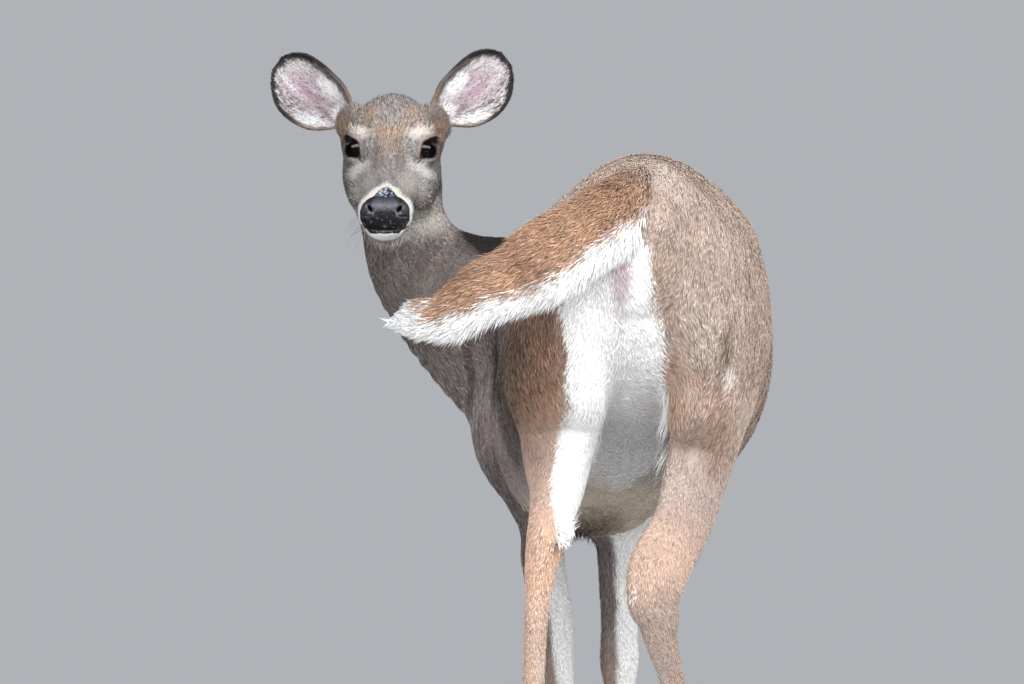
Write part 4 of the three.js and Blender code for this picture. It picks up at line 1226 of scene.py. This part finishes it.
def coat_tones(colour, z, up, part, share, rise, side):
    """Each tuft's colours: locks show most on the upper neck, and single dark hairs on grey coat."""
    white = whiteness(colour)
    grey = step(0.34, 0.26, colour[:, 0])
    of_head, of_tail = part == HEAD_PART, part == TAIL_PART
    upper_neck = (part == NECK_PART) * step(0.35, 0.6, share)
    strength = np.where(of_head, 0.0, 0.10 + (0.12 + 0.36 * upper_neck) * grey) * (1 - 0.7 * white)
    colour = np.clip(colour * (1 + strength * locks(part, share, rise, side))[:, None], 0.004, 0.97)
    below = step(-0.3, -0.75, up[:, 2]) * (part == TRUNK_PART)
    low_leg = (part >= HIND_LEFT_PART) * step(0.5, 0.44, z)
    dark = (0.11 + 0.22 * grey + 0.20 * of_head - 0.09 * of_tail) * (1 - below) * (1 - 0.6 * low_leg)
    pale, spread = 1.12 + 0.65 * grey + 0.3 * of_head, 0.09 + 0.16 * grey + 0.10 * of_head
    return tuft_tones(colour, white, dark, pale, spread, 0.80 + 0.11 * of_tail)


# ---- looks


class Look:
    """A material's node tree, with short ways to add to it."""

    def __init__(self, name):
        self.material = bpy.data.materials.new(name)
        self.material.use_nodes = True
        self.tree = self.material.node_tree
        self.shader = self.tree.nodes["Principled BSDF"]

    def node(self, kind, **values):
        made = self.tree.nodes.new(kind)
        for key, value in values.items():
            if key in made.inputs:
                made.inputs[key].default_value = value
            else:
                setattr(made, key, value)
        return made

    def link(self, source, target):
        self.tree.links.new(source, target)

    def set(self, **values):
        for key, value in values.items():
            self.shader.inputs[key.replace("_", " ")].default_value = value

    def noise(self, scale, detail=3):
        """Noise in the object's own space, and that space."""
        place = self.node("ShaderNodeTexCoord")
        noise = self.node("ShaderNodeTexNoise", Scale=scale, Detail=detail)
        self.link(place.outputs["Object"], noise.inputs["Vector"])
        return noise.outputs["Fac"], place.outputs["Object"]

    def painted(self, scale, low, high):
        """The painted colour, made lighter and darker by noise."""
        colour = self.node("ShaderNodeAttribute", attribute_name="coat")
        noise, place = self.noise(scale)
        span = self.node("ShaderNodeMapRange")
        span.inputs["To Min"].default_value = low
        span.inputs["To Max"].default_value = high
        self.link(noise, span.inputs["Value"])
        shade = self.node("ShaderNodeVectorMath", operation="SCALE")
        self.link(colour.outputs["Color"], shade.inputs["Vector"])
        self.link(span.outputs["Result"], shade.inputs["Scale"])
        self.link(shade.outputs["Vector"], self.shader.inputs["Base Color"])
        return place

    def mottled(self, scale, detail, *ends):
        """A colour between two ends that changes with noise."""
        noise, place = self.noise(scale, detail)
        ramp = self.node("ShaderNodeValToRGB")
        for element, tone in zip(ramp.color_ramp.elements, ends):
            element.color = (*tone, 1)
        self.link(noise, ramp.inputs["Fac"])
        self.link(ramp.outputs["Color"], self.shader.inputs["Base Color"])
        return place

    def bump(self, height, strength, distance):
        bump = self.node("ShaderNodeBump", Strength=strength, Distance=distance)
        self.link(height, bump.inputs["Height"])
        self.link(bump.outputs["Normal"], self.shader.inputs["Normal"])


def painted_look(name, scale, low, high, **values):
    """A look whose only pattern is noise over the painted colour."""
    look = Look(name)
    look.set(**values)
    look.painted(scale, low, high)
    return look.material


def skin_look():
    """The skin between the tufts, with bump drawn out along the hair."""
    look = Look("skin")
    look.set(Roughness=0.8, Specular_IOR_Level=0.15)
    look.painted(300, 0.75, 1.1)
    lie = look.node("ShaderNodeAttribute", attribute_name="lie")
    noise = look.node("ShaderNodeTexNoise", Scale=1.0, Detail=3)
    look.link(lie.outputs["Vector"], noise.inputs["Vector"])
    look.bump(noise.outputs["Fac"], 0.8, 0.0015)
    return look.material


def nose_look():
    """Damp leather with small cells."""
    look = Look("nose")
    look.set(Roughness=0.34, Specular_IOR_Level=0.6, Coat_Weight=0.5, Coat_Roughness=0.2)
    place = look.painted(260, 0.7, 1.3)
    cells = look.node("ShaderNodeTexVoronoi", Scale=620, feature="SMOOTH_F1", Smoothness=0.4)
    look.link(place, cells.inputs["Vector"])
    look.bump(cells.outputs["Distance"], 0.7, 0.0009)
    return look.material


def horn_look():
    """Dark hooves with faint growth rings."""
    look = Look("horn")
    look.set(Roughness=0.42, Specular_IOR_Level=0.45)
    place = look.mottled(160, 3, (0.018, 0.015, 0.014), (0.060, 0.050, 0.045))
    waves = look.node("ShaderNodeTexWave", Scale=95, Distortion=1.6, Detail=2, bands_direction="Z")
    look.link(place, waves.inputs["Vector"])
    look.bump(waves.outputs["Fac"], 0.35, 0.0006)
    return look.material


def floor_look():
    """Plain and pale."""
    look = Look("floor")
    look.set(Roughness=0.8)
    look.mottled(1.5, 4, (0.66, 0.66, 0.65), (0.74, 0.74, 0.73))
    return look.material


EYE_TINT = (0.72, 0.84, 1.0, 1.0)
COAT_SHINE = {"Roughness": 0.6, "Specular_IOR_Level": 0.25, "Sheen_Weight": 0.12, "Sheen_Roughness": 0.5}
EYE_SHINE = {"Roughness": 0.05, "Specular_IOR_Level": 0.8, "IOR": 1.5, "Specular_Tint": EYE_TINT}
LOOKS = {
    "coat": painted_look("coat", 420, 0.86, 1.14, **COAT_SHINE),
    "skin": skin_look(),
    "nose": nose_look(),
    "eye": painted_look("eye", 900, 0.8, 1.2, **EYE_SHINE),
    "lash": painted_look("lash", 500, 0.7, 1.2, Roughness=0.35, Specular_IOR_Level=0.4),
    "horn": horn_look(),
    "floor": floor_look(),
}

# ---- skin, nose pad and coat


def store_lie(mesh, values):
    """The space in which the skin's bump is drawn: long along the hair, short across it."""
    layer = mesh.attributes.new("lie", "FLOAT_VECTOR", "POINT")
    layer.data.foreach_set("vector", values.astype(np.float32).ravel())


def vertex_normals(points, quads):
    """Normals of the skin's points, weighted by the area of the quads round them."""
    corner = points[quads]
    flat = np.cross(corner[:, 2] - corner[:, 0], corner[:, 3] - corner[:, 1])
    corners = quads.ravel()
    total = [np.bincount(corners, np.repeat(flat[:, k], 4), len(points)) for k in range(3)]
    return unit(np.stack(total, 1))


def nose_colour(p):
    """Blue-black leather: paler panels beside a dotted middle line, a painted bluish highlight at the top,
    pink rims below the nostrils.
    """
    o = head_place(p)[2]
    m, h = np.abs(o), eye_height(p)
    colour = fill((0.012, 0.012, 0.015), p)
    colour = mix(colour, np.array([0.05, 0.054, 0.075]), 0.9 * blob(m, h, 8, -78, 7.5, 8.0, 0.5))
    # painted highlight: a bluish-white patch at the top of the pad
    painted_shine = blob(o, h, 0, -61, 13, 7, 0.5) * step(-0.1, 0.4, wobble(p, 0.004, 21))
    colour = mix(colour, np.array([0.42, 0.46, 0.55]), 0.75 * painted_shine)
    colour = mix(colour, np.array([0.035, 0.038, 0.05]), 0.9 * blob(m, h, 27, -80, 5, 12, 0.5))
    rim = blob(m, h + 0.45 * (m - 17), 17, -89, 6, 2.2, 0.5)
    colour = mix(colour, np.array([0.20, 0.15, 0.155]), 0.7 * rim)
    dots = bell(o, 1.4) * step(0.0, 0.7, np.sin(h * 2.6)) * band(-86, -70, 2, h)
    colour = mix(colour, np.array([0.16, 0.13, 0.135]), 0.8 * dots)
    specks = step(0.5, 0.8, wobble(p, 0.0055, 22) * 0.5 + 0.5 * wobble(p, 0.0035, 23)) * step(-92, -97, h)
    return mix(colour, np.array([0.20, 0.19, 0.20]), 0.7 * specks)


mesh = grow_skin()
points = read(mesh.vertices, "co", np.float32, 3).astype(float)
corners = read(mesh.polygons, "loop_total", np.int32, 1)
starts = read(mesh.polygons, "loop_start", np.int32, 1)
index = read(mesh.loops, "vertex_index", np.int32, 1)
quads = index[starts[:, None] + np.minimum(np.arange(4), corners[:, None] - 1)]
normals = vertex_normals(points, quads)
found = survey(points, normals)
part, share, rise, side, lie = found
colours = markings(points, normals, part, share, rise)
skin = add_object("skin", mesh)
paint(mesh, colours * 0.92)  # a little darker than the hair over it: painted shade, as the skin lies in shadow between the tufts
hair_space = [dot(points, np.cross(normals, lie)) * 700, share * 60, part * 9.0]
store_lie(mesh, np.stack(hair_space, 1))
# the nose pad is a piece of its own
f, u, o = head_place(points)
h = eye_height(points)
pad = (pad_edge(f, o, h) > 0)[quads].all(1) & (normals @ FACE > -0.1)[quads].all(1)
used, new_index = np.unique(quads[pad], return_inverse=True)
nose_pad = add_mesh("nose_pad", points[used], new_index.reshape(-1, 4))
paint(nose_pad.data, nose_colour(points[used]))
trimmed = bmesh.new()
trimmed.from_mesh(mesh)
trimmed.faces.ensure_lookup_table()
bmesh.ops.delete(trimmed, geom=[trimmed.faces[i] for i in np.flatnonzero(pad)], context="FACES_ONLY")
trimmed.to_mesh(mesh)
trimmed.free()
leg_nodes = [f"{leg}_{half}" for leg in LEG_NAMES for half in ("upper", "lower")]
settle(skin, "skin", "coat", "trunk", "neck", "tail", "head", *leg_nodes)
settle(nose_pad, "nose", "nose", "nose")
lay_coat(points, quads, normals, found)

# ---- long hair


def long_hair(name, slot, count, chosen, way, length, width, colour=None, lift=0.35, droop=0.0, stray=0.25):
    """Single long hairs or locks that grow from the skin's points where chosen is true."""
    pick = rng.choice(np.flatnonzero(chosen), count)
    up = normals[pick]
    way = np.broadcast_to(way, points.shape)[pick]
    away = unit(across(way + stray * rng.normal(size=(count, 3)), up))
    root = points[pick] + across(rng.normal(0, 0.0012, (count, 3)), up)
    base = colours[pick] if colour is None else np.tile(colour, (count, 1))
    tone = np.clip(base * rng.uniform(0.82, 1.12, (count, 1)), 0.004, 0.97)
    size = length * rng.uniform(0.55, 1.1, count)
    place = np.stack([part_angle(rise[pick], side[pick]), share[pick]], 1) * 0.99 + 0.005
    thick, lifts = np.full(count, width), lift * rng.uniform(0.6, 1.3, count)
    tones = [tone * 0.85, tone, tone]
    spindles(name, slot, root, up, away, size, thick, lifts, tones, place, 3, droop, 0.0008)


def hock_spot(leg, across_at, height, half_wide, half_high):
    """The skin of one hock round a place seen from behind."""
    return (part == leg) & (np.abs(x - across_at) < half_wide) & (np.abs(z - height) < half_high)


def groin_spot(across_at, height, half_wide, half_high):
    """The skin between the thighs round a place seen from behind."""
    near = (np.abs(x - across_at) < half_wide) & (np.abs(z - height) < half_high)
    return near & (y < -0.2)


x, y, z = points.T
out, behind = normals[:, 0], normals[:, 1]
m, sideways = np.abs(o), np.sign(o)[:, None] * OUT
on_head, on_tail = part == HEAD_PART, part == TAIL_PART

below_jaw = (normals @ BROW < -0.25) & on_head & (u < mouth_line(f) - 3)
chosen = below_jaw & between(60, f, 122) & (m < 27)
long_hair("coat_chin", "face", 700, chosen, DOWN, 0.022, 0.0006, CREAM * 0.8, droop=0.2)
chosen = below_jaw & between(66, f, 96) & (m < 9)
long_hair("coat_chin_strands", "face", 9, chosen, DOWN * 1.2, 0.052, 0.0005, CREAM * 0.7, 0.2, 0.3, 0.12)
chosen = between(92, f, 120) & (m > 20) & between(-108, h, -84)
way = sideways * 0.8 + DOWN * 0.8
long_hair("coat_whiskers", "face", 46, chosen, way, 0.026, 0.0003, ASH * 0.9, 1.1, 0.2)
chosen = on_head & (m > 44) & (h > 22) & between(-75, f, 12)
way = sideways * 0.7 + BROW - FACE * 0.3
long_hair("coat_ear_roots", "face", 1500, chosen, way, 0.012, 0.0008, None, 0.3, stray=0.3)

chosen = hock_spot(HIND_LEFT_PART, 0.053, 0.395, 0.011, 0.011) & (behind < 0.2)
long_hair("coat_hock_left", "coat", 260, chosen, (0.8, -0.1, -0.6), 0.021, 0.0012, WHITE, 0.25)
# dark hairs under the white hock tuft, put there as a painted shadow
chosen = hock_spot(HIND_LEFT_PART, 0.050, 0.374, 0.012, 0.006) & (behind < 0.2)
long_hair("coat_hock_left_shadow", "coat", 50, chosen, (0.6, -0.1, -0.8), 0.008, 0.0009, UMBER * 2, 0.2)
chosen = hock_spot(HIND_RIGHT_PART, 0.127, 0.327, 0.009, 0.009) & (out < 0.3)
long_hair("coat_hock_right", "coat", 70, chosen, (-0.5, -0.2, -0.8), 0.009, 0.0010, CREAM, 0.3)
chosen = groin_spot(0.160, 0.515, 0.014, 0.04) & (out < -0.2)
way, tone = (-0.6, -0.2, -0.75), WHITE * 0.9
long_hair("coat_groin_right", "coat", 190, chosen, way, 0.030, 0.0006, tone, 0.45, 0.25, 0.4)
chosen = groin_spot(0.105, 0.51, 0.018, 0.045) & (out > 0.3)
long_hair("coat_groin_left", "coat", 160, chosen, (0.4, -0.2, -0.9), 0.018, 0.0007, tone, 0.35, 0.2, 0.3)
chosen = (part == TRUNK_PART) & (rise < -0.85) & (z < 0.44) & (x < 0.13)
long_hair("coat_belly", "coat", 700, chosen, (0, -0.6, -0.5), 0.017, 0.0009, None, 0.35, 0.2)

chosen = on_tail & (rise < -0.55) & between(0.2, share, 0.8)
long_hair("coat_tail_fringe", "tail", 2600, chosen, lie + DOWN * 0.5, 0.026, 0.0011, WHITE, 0.3, 0.2, 0.2)
chosen = on_tail & (share > 0.80)
long_hair("coat_tail_tip", "tail", 600, chosen, lie, 0.018, 0.0010, WHITE, 0.12, 0.05, 0.12)
chosen = on_tail & (rise > 0.4) & between(0.05, share, 0.8) & (behind < -0.1)
long_hair("coat_tail_crest", "tail", 1500, chosen, lie, 0.018, 0.0010, None, 0.4, 0.0, 0.25)

# ---- eyes and lashes


def ring_mesh(name, rows):
    """A closed surface through rings of points, all alike in number, with a point at each end."""
    rows = [np.asarray(r) for r in rows]
    sides = len(rows[0])
    points = np.concatenate([rows[0].mean(0)[None], *rows, rows[-1].mean(0)[None]])
    faces = []
    for k in range(sides):
        nxt = (k + 1) % sides
        faces.append((0, 1 + nxt, 1 + k, 1 + k))
        for r in range(len(rows) - 1):
            a = 1 + r * sides
            faces.append((a + k, a + nxt, a + sides + nxt, a + sides + k))
        a = 1 + (len(rows) - 1) * sides
        faces.append((a + k, a + nxt, len(points) - 1, len(points) - 1))
    mesh = bpy.data.meshes.new(name)
    mesh.from_pydata(points.tolist(), [], [f if f[2] != f[3] else f[:3] for f in faces])
    mesh.shade_smooth()
    return add_object(name, mesh)


EYE_SIDES = 48  # corners in each ring of an eyeball
CORNEA = 44  # degrees from the middle of the eye to the cornea's edge


def add_eye(s, name):
    """A dark ball with a bulging cornea, a wide level pupil and a deep brown iris."""
    along, high, gaze = eye_axes(s)
    rows = []
    tones = [np.array([[0.004, 0.004, 0.005]])]
    turns = np.arange(EYE_SIDES) / EYE_SIDES * 2 * math.pi
    for deg in np.concatenate([np.arange(1, 58, 3), np.arange(60, 179, 8)]):
        theta = math.radians(deg)
        bulge = 1.3 * max(0, 1 - (deg / CORNEA) ** 2) ** 1.5
        r = (EYE_RADIUS - 0.15 + bulge) * MM
        flat = np.cos(turns)[:, None] * along + np.sin(turns)[:, None] * high
        rows.append(EYE_MIDDLES[s] + r * (math.cos(theta) * gaze + math.sin(theta) * flat))
        x, y = math.sin(theta) * np.cos(turns), math.sin(theta) * np.sin(turns)
        pupil = blob(x, y, 0, 0, 0.46, 0.30, 0.12)
        iris = 1 - step(0.66, 0.74, np.hypot(x, y))
        tone = mix(fill([0.006, 0.005, 0.005], turns), np.array([0.006, 0.004, 0.003]), iris)
        tones.append(mix(tone, np.array([0.002, 0.002, 0.003]), pupil))
    tones.append(tones[-1][:1])
    if s == LEFT:
        rows = [r[::-1] for r in rows]
        tones = [tones[0], *[t[::-1] for t in tones[1:-1]], tones[-1]]
    eye = ring_mesh(f"{name}_ball", rows)
    paint(eye.data, np.concatenate(tones))
    settle(eye, "eye", "eye", name)


def add_lashes(s, name):
    """A row of stiff lashes along the upper lid, longest at its outer corner."""
    count = 110
    along, high, gaze = eye_axes(s)
    a = rng.uniform(-66, 15, count)
    b = 3 + LID_TILT * a + UPPER_LID * np.sqrt(1 - (a / LID_REACH) ** 2) + rng.uniform(-1, 2.5, count)
    slopes = [np.tan(np.radians(angle))[:, None] for angle in (a, np.minimum(b, 80))]
    out = unit(slopes[0] * along + slopes[1] * high + gaze)
    root = EYE_MIDDLES[s] + out * (EYE_RADIUS + LID - 0.3) * MM
    outer = step(10, -50, a)[:, None]
    way = gaze * (0.9 - 0.4 * outer) + high * (0.1 - 0.3 * outer) - along * (0.2 + 1.1 * outer)
    lie = unit(across(way + 0.12 * rng.normal(size=(count, 3)), out))
    length = (0.0025 + 0.010 * outer[:, 0]) * rng.uniform(0.75, 1.15, count)
    black = fill(SABLE * 0.35, a)
    place = np.stack([(a + 70) / 140, np.full(count, 0.5)], 1)
    width, lift = np.full(count, 0.0007), np.full(count, 0.45)
    title = f"{name}_lashes"
    spindles(title, "eye", root, out, lie, length, width, lift, [black] * 3, place, 2, 0.0, 0.0003, "lash")


# She looks back, so her left eye and ear are on the +X side.
for add in (add_eye, add_lashes):
    add(RIGHT, "eye_left")
    add(LEFT, "eye_right")

# ---- ears

# The middle of an ear's base, its tip, and the way its cup opens.
EARS = {
    LEFT: ((-340, 330, 934), (-432, 345, 1007), (-0.1, -1, -0.22)),
    RIGHT: ((-236, 330, 937), (-147, 345, 1012), (0.1, -1, -0.22)),
}
# Along the ear: its half width and the depth of its cup.
EAR_SHAPE = np.array([
    (0, 12, 16), (0.12, 22, 22), (0.28, 34, 24), (0.45, 39, 22),
    (0.62, 40, 18), (0.78, 36, 13), (0.91, 25, 8), (1, 10, 3),
], float)
EAR_FINE = smooth(EAR_SHAPE, 8)
EAR_ROWS, EAR_ARCS = 46, 34
EAR_HALF = 1.3  # half the thickness of its wall


def ear_frame(s):
    """An ear's base and run, and its directions along, out of the cup and down."""
    base, tip, opens = (np.array(v, float) for v in EARS[s])
    base, tip = (base + SHIFT) * MM, (tip + SHIFT) * MM
    run = tip - base
    along = unit(run)
    opening = unit(across(opens, along))
    return base, run, along, opening, np.cross(along, opening) * s


def ear_point(s, t, w, back):
    """A place on an ear: t from base to tip, w from -1 on its upper edge to 1 on its lower edge."""
    base, run, along, opening, down = ear_frame(s)
    wide, deep = (np.interp(t, EAR_FINE[:, 0], EAR_FINE[:, k]) for k in (1, 2))
    turn = w * math.pi / 2
    spread = (wide - 0.8 + (0.9 if back else -0.3)) * np.sin(turn) + 7 * np.sin(math.pi * t)
    half = EAR_HALF * (1 if back else -1) * np.sqrt(np.maximum(1 - np.abs(w) ** 6, 0.05))
    ridge = 0 if back else 0.9 * np.cos(w * 9) * step(0.05, 0.2, t) * step(0.9, 0.6, t)
    depth = deep * np.cos(turn) + half + ridge
    inward = 6 * step(0.1, 0, t)
    spread, depth, inward = (v[..., None] for v in (spread, depth, inward))
    return base + run * t[..., None] + (down * spread - opening * depth - along * inward) * MM


# Soft ovals inside an ear, along it and across it from its upper edge, -1, to its lower edge, 1.
EAR_MARKS = [
    (WHITE * 0.95, 0.95, 0.12, 0.05, 0.09, 0.36, 0.5),
    (WHITE * 0.93, 0.9, 0.28, 0.80, 0.22, 0.22, 0.5),
]


def ear_colour(t, w, back, p):
    """Black rim, brown-grey upper edge, white and mauve inside, brown-grey behind."""
    shape = t.shape
    t, v, p = t.ravel(), np.sin(w.ravel() * math.pi / 2), p.reshape(-1, 3)
    half_wide = np.interp(t, EAR_FINE[:, 0], EAR_FINE[:, 1])
    edge = np.minimum((1 - np.abs(v)) * half_wide, (1 - t) * 118)
    noise = wobble(p, 0.012, 31)
    edge = edge + 1.2 * noise + 0.8 * wobble(p, 0.005, 34)
    colour = ear_back(t, edge, noise) if back else ear_inside(t, v, edge, p)
    return colour.reshape(*shape, 3)


def ear_back(t, edge, noise):
    """Brown-grey behind, warmer at the base and black at the rim."""
    colour = mix(fill(GREY_BROWN * 1.05, t), UMBER, step(0.6, 1.0, t + 0.05 * noise))
    colour = mix(colour, ORANGE * 0.8, 0.6 * step(0.3, 0.05, t))
    return mix(colour, SABLE, 0.9 * step(7, 3, edge) * step(0.3, 0.5, t))


def ear_inside(t, v, edge, p):
    """White and mauve inside, with dark flecks, brown edges and a black rim."""
    streak = step(-0.2, 0.6, wobble(np.stack([t * 0.05, v * 0.10, 0 * t], 1), 0.012, 33))
    colour = mix(fill([0.50, 0.44, 0.47], t), WHITE * 0.85, 0.6 * streak)
    colour = mix(colour, MAUVE * 0.8, (0.9 - 0.45 * streak) * blob(t, v, 0.52, -0.02, 0.27, 0.42, 0.6))
    colour = mix(colour, WHITE * 0.95, 0.9 * blob(t, v, 0.36, -0.52, 0.16, 0.26, 0.5))
    colour = mix(colour, MAUVE * 0.5, 0.8 * blob(t, v + 1.2 * (t - 0.26), 0.27, 0.34, 0.14, 0.14, 0.5))
    colour = ovals(colour, t, v, EAR_MARKS)
    ticks = step(-0.1, 0.45, wobble(p, 0.0045, 32)) * band(0.42, 1.0, 0.12, v) * band(0.42, 0.92, 0.12, t)
    colour = mix(colour, UMBER * 0.8, 0.8 * ticks)
    ticks = step(-0.1, 0.5, wobble(p, 0.004, 35)) * step(17, 9, edge) * step(0.45, 0.65, t)
    colour = mix(colour, SABLE * 2, 0.75 * ticks)
    upper = step(13, 8, edge) * (v < 0)
    colour = mix(colour, GREY_BROWN * 0.9, 0.92 * upper)
    colour = mix(colour, ORANGE * 0.8, 0.6 * upper * step(0.3, 0.12, t))
    lower = step(4.5, 2.0, edge) * (v > 0) * step(0.04, 0.12, t)
    colour = mix(colour, ORANGE * 0.5, 0.8 * lower)
    to_tip = step(0.55, 0.85, t)
    black = step(3.0 + 6.5 * to_tip, 0.5 + 5.0 * to_tip, edge)
    black = black * np.where(v > 0, step(0.32, 0.5, t), step(0.40, 0.6, t))
    return mix(colour, SABLE * 0.8, 0.95 * black)


def add_ear(s, name):
    """An ear's skin, a cup with two faces, and the hair on both."""
    t = np.linspace(0, 1, EAR_ROWS)
    w = np.sin(np.linspace(-1, 1, EAR_ARCS + 1) * math.pi / 2)
    tt, ww = np.meshgrid(t, w, indexing="ij")
    sheets, tones = [], []
    for back in (True, False):
        p = ear_point(s, tt, ww, back)
        c = ear_colour(tt, ww, back, p)
        sheets.append(p if back else p[:, ::-1])
        tones.append(c if back else c[:, ::-1])
    rings = np.concatenate(sheets, 1)
    colour = np.concatenate(tones, 1)
    if s == RIGHT:
        rings, colour = rings[:, ::-1], colour[:, ::-1]
    ear = ring_mesh(name + "_skin", list(rings))
    flat = colour.reshape(-1, 3)
    # painted shade: the ear's skin a little darker than its hair, as it lies in shadow between the tufts
    paint(ear.data, np.concatenate([flat[:1], flat, flat[-1:]]) * 0.9)
    store_lie(ear.data, np.zeros((len(flat) + 2, 3)))
    settle(ear, "skin", "ear", name)
    for back in (True, False):
        ear_coat(s, name, back)


def ear_coat(s, name, back):
    """Short hair over one side of an ear, longer where it is white."""
    count = 5000
    t = rng.uniform(0.03, 0.985, count * 2)
    w = rng.uniform(-0.985, 0.985, count * 2)
    keep = rng.random(len(t)) < np.interp(t, EAR_SHAPE[:, 0], EAR_SHAPE[:, 1]) / 40
    t, w = t[keep][:count], w[keep][:count]
    e = 0.004
    p = ear_point(s, t, w, back)
    dt = ear_point(s, t + e, w, back) - ear_point(s, t - e, w, back)
    dw = ear_point(s, t, w + e, back) - ear_point(s, t, w - e, back)
    normal = unit(np.cross(dt, dw))
    opening = ear_frame(s)[3]
    normal = normal * np.sign(dot(normal, opening * (-1 if back else 1)))[:, None]
    turn = (0.25 if back else 0.55) * w
    lie = unit(across(unit(dt) + unit(dw) * turn[:, None] + 0.2 * rng.normal(size=p.shape), normal))
    colour = ear_colour(t, w, back, p)
    white = whiteness(colour)
    tones = tuft_tones(colour, white, 0.25, np.full(len(t), 1.2), 0.12)
    place = np.stack([(w + 1) / 2 * 0.98 + 0.01, t * 0.98 + 0.01], 1)
    length = np.where(back, 0.0075, 0.007 + 0.008 * white) * rng.uniform(0.7, 1.2, len(t)) * (1 - 0.35 * t)
    width = np.full(len(t), 0.0008)
    lift = rng.uniform(0.08, 0.25, len(t))
    title = f"coat_{name}_{'back' if back else 'front'}"
    spindles(title, "ear", p, normal, lie, length, width, lift, tones, place, 1, sink=0.0005)


add_ear(RIGHT, "ear_left")
add_ear(LEFT, "ear_right")

# ---- hooves


def dress(node, look):
    """Gives a solid of the frame, which stays, its own look."""
    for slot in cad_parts[node].material_slots:
        slot.link = "OBJECT"
        slot.material = LOOKS[look]


for leg in LEG_NAMES:
    for kind in ("hoof", "dewclaw"):
        for i in (1, 2):
            dress(f"{leg}_{kind}_{i}", "horn")

# ---- studio

FLOOR = np.array([(-20, -20, 0), (20, -20, 0), (20, 20, 0), (-20, 20, 0)], float)
floor = add_mesh("floor", FLOOR, np.array([[0, 1, 2, 3]]))
floor.data.materials.append(LOOKS["floor"])
floor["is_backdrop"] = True
floor.visible_glossy = False

camera = bpy.data.cameras.new("camera")
camera.lens = 183.1
camera.sensor_width = 36
camera.clip_end = 100
viewer = add_object("camera", camera)
viewer.location = (-0.00158, -6.01898, 0.121)
viewer.rotation_euler = (math.radians(90 + 4.8), 0, 0)  # level, then a little up
bpy.context.scene.camera = viewer


def add_light(name, place, target, size, power, mirrored=False):
    """A soft rectangle of light. Only the mirrored one shows in the eyes and the nose."""
    light = bpy.data.lights.new(name, "AREA")
    light.shape = "RECTANGLE"
    light.energy = power
    light.size, light.size_y = size
    lamp = add_object(name, light)
    lamp.location = place
    lamp.rotation_euler = (Vector(place) - Vector(target)).to_track_quat("Z", "Y").to_euler()
    lamp.visible_glossy = mirrored


add_light("sky", (0.1, -4.1, 4.0), tuple(HEAD_ORIGIN), (11.0, 2.8), 370, True)
add_light("key", (2.9, -2.6, 3.6), (0.05, 0, 0.7), (4.0, 4.0), 222)
add_light("front", (1.2, -5.4, 1.1), (0.0, 0, 0.6), (3.5, 3.5), 160)
add_light("fill", (-2.3, -4.8, 1.1), (0.0, 0, 0.5), (3.0, 3.0), 75)
world = bpy.data.worlds.new("studio")
bpy.context.scene.world = world
world.use_nodes = True
background = world.node_tree.nodes["Background"]
background.inputs["Color"].default_value = (0.92, 0.95, 1.0, 1)
background.inputs["Strength"].default_value = 0.47
world.cycles_visibility.glossy = False
bpy.context.scene.view_settings.view_transform = "Standard"

boxes = {"cad": CAD_BOX, "visual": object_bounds()}
{name: [list(map(float, v)) for v in box] for name, box in boxes.items()}
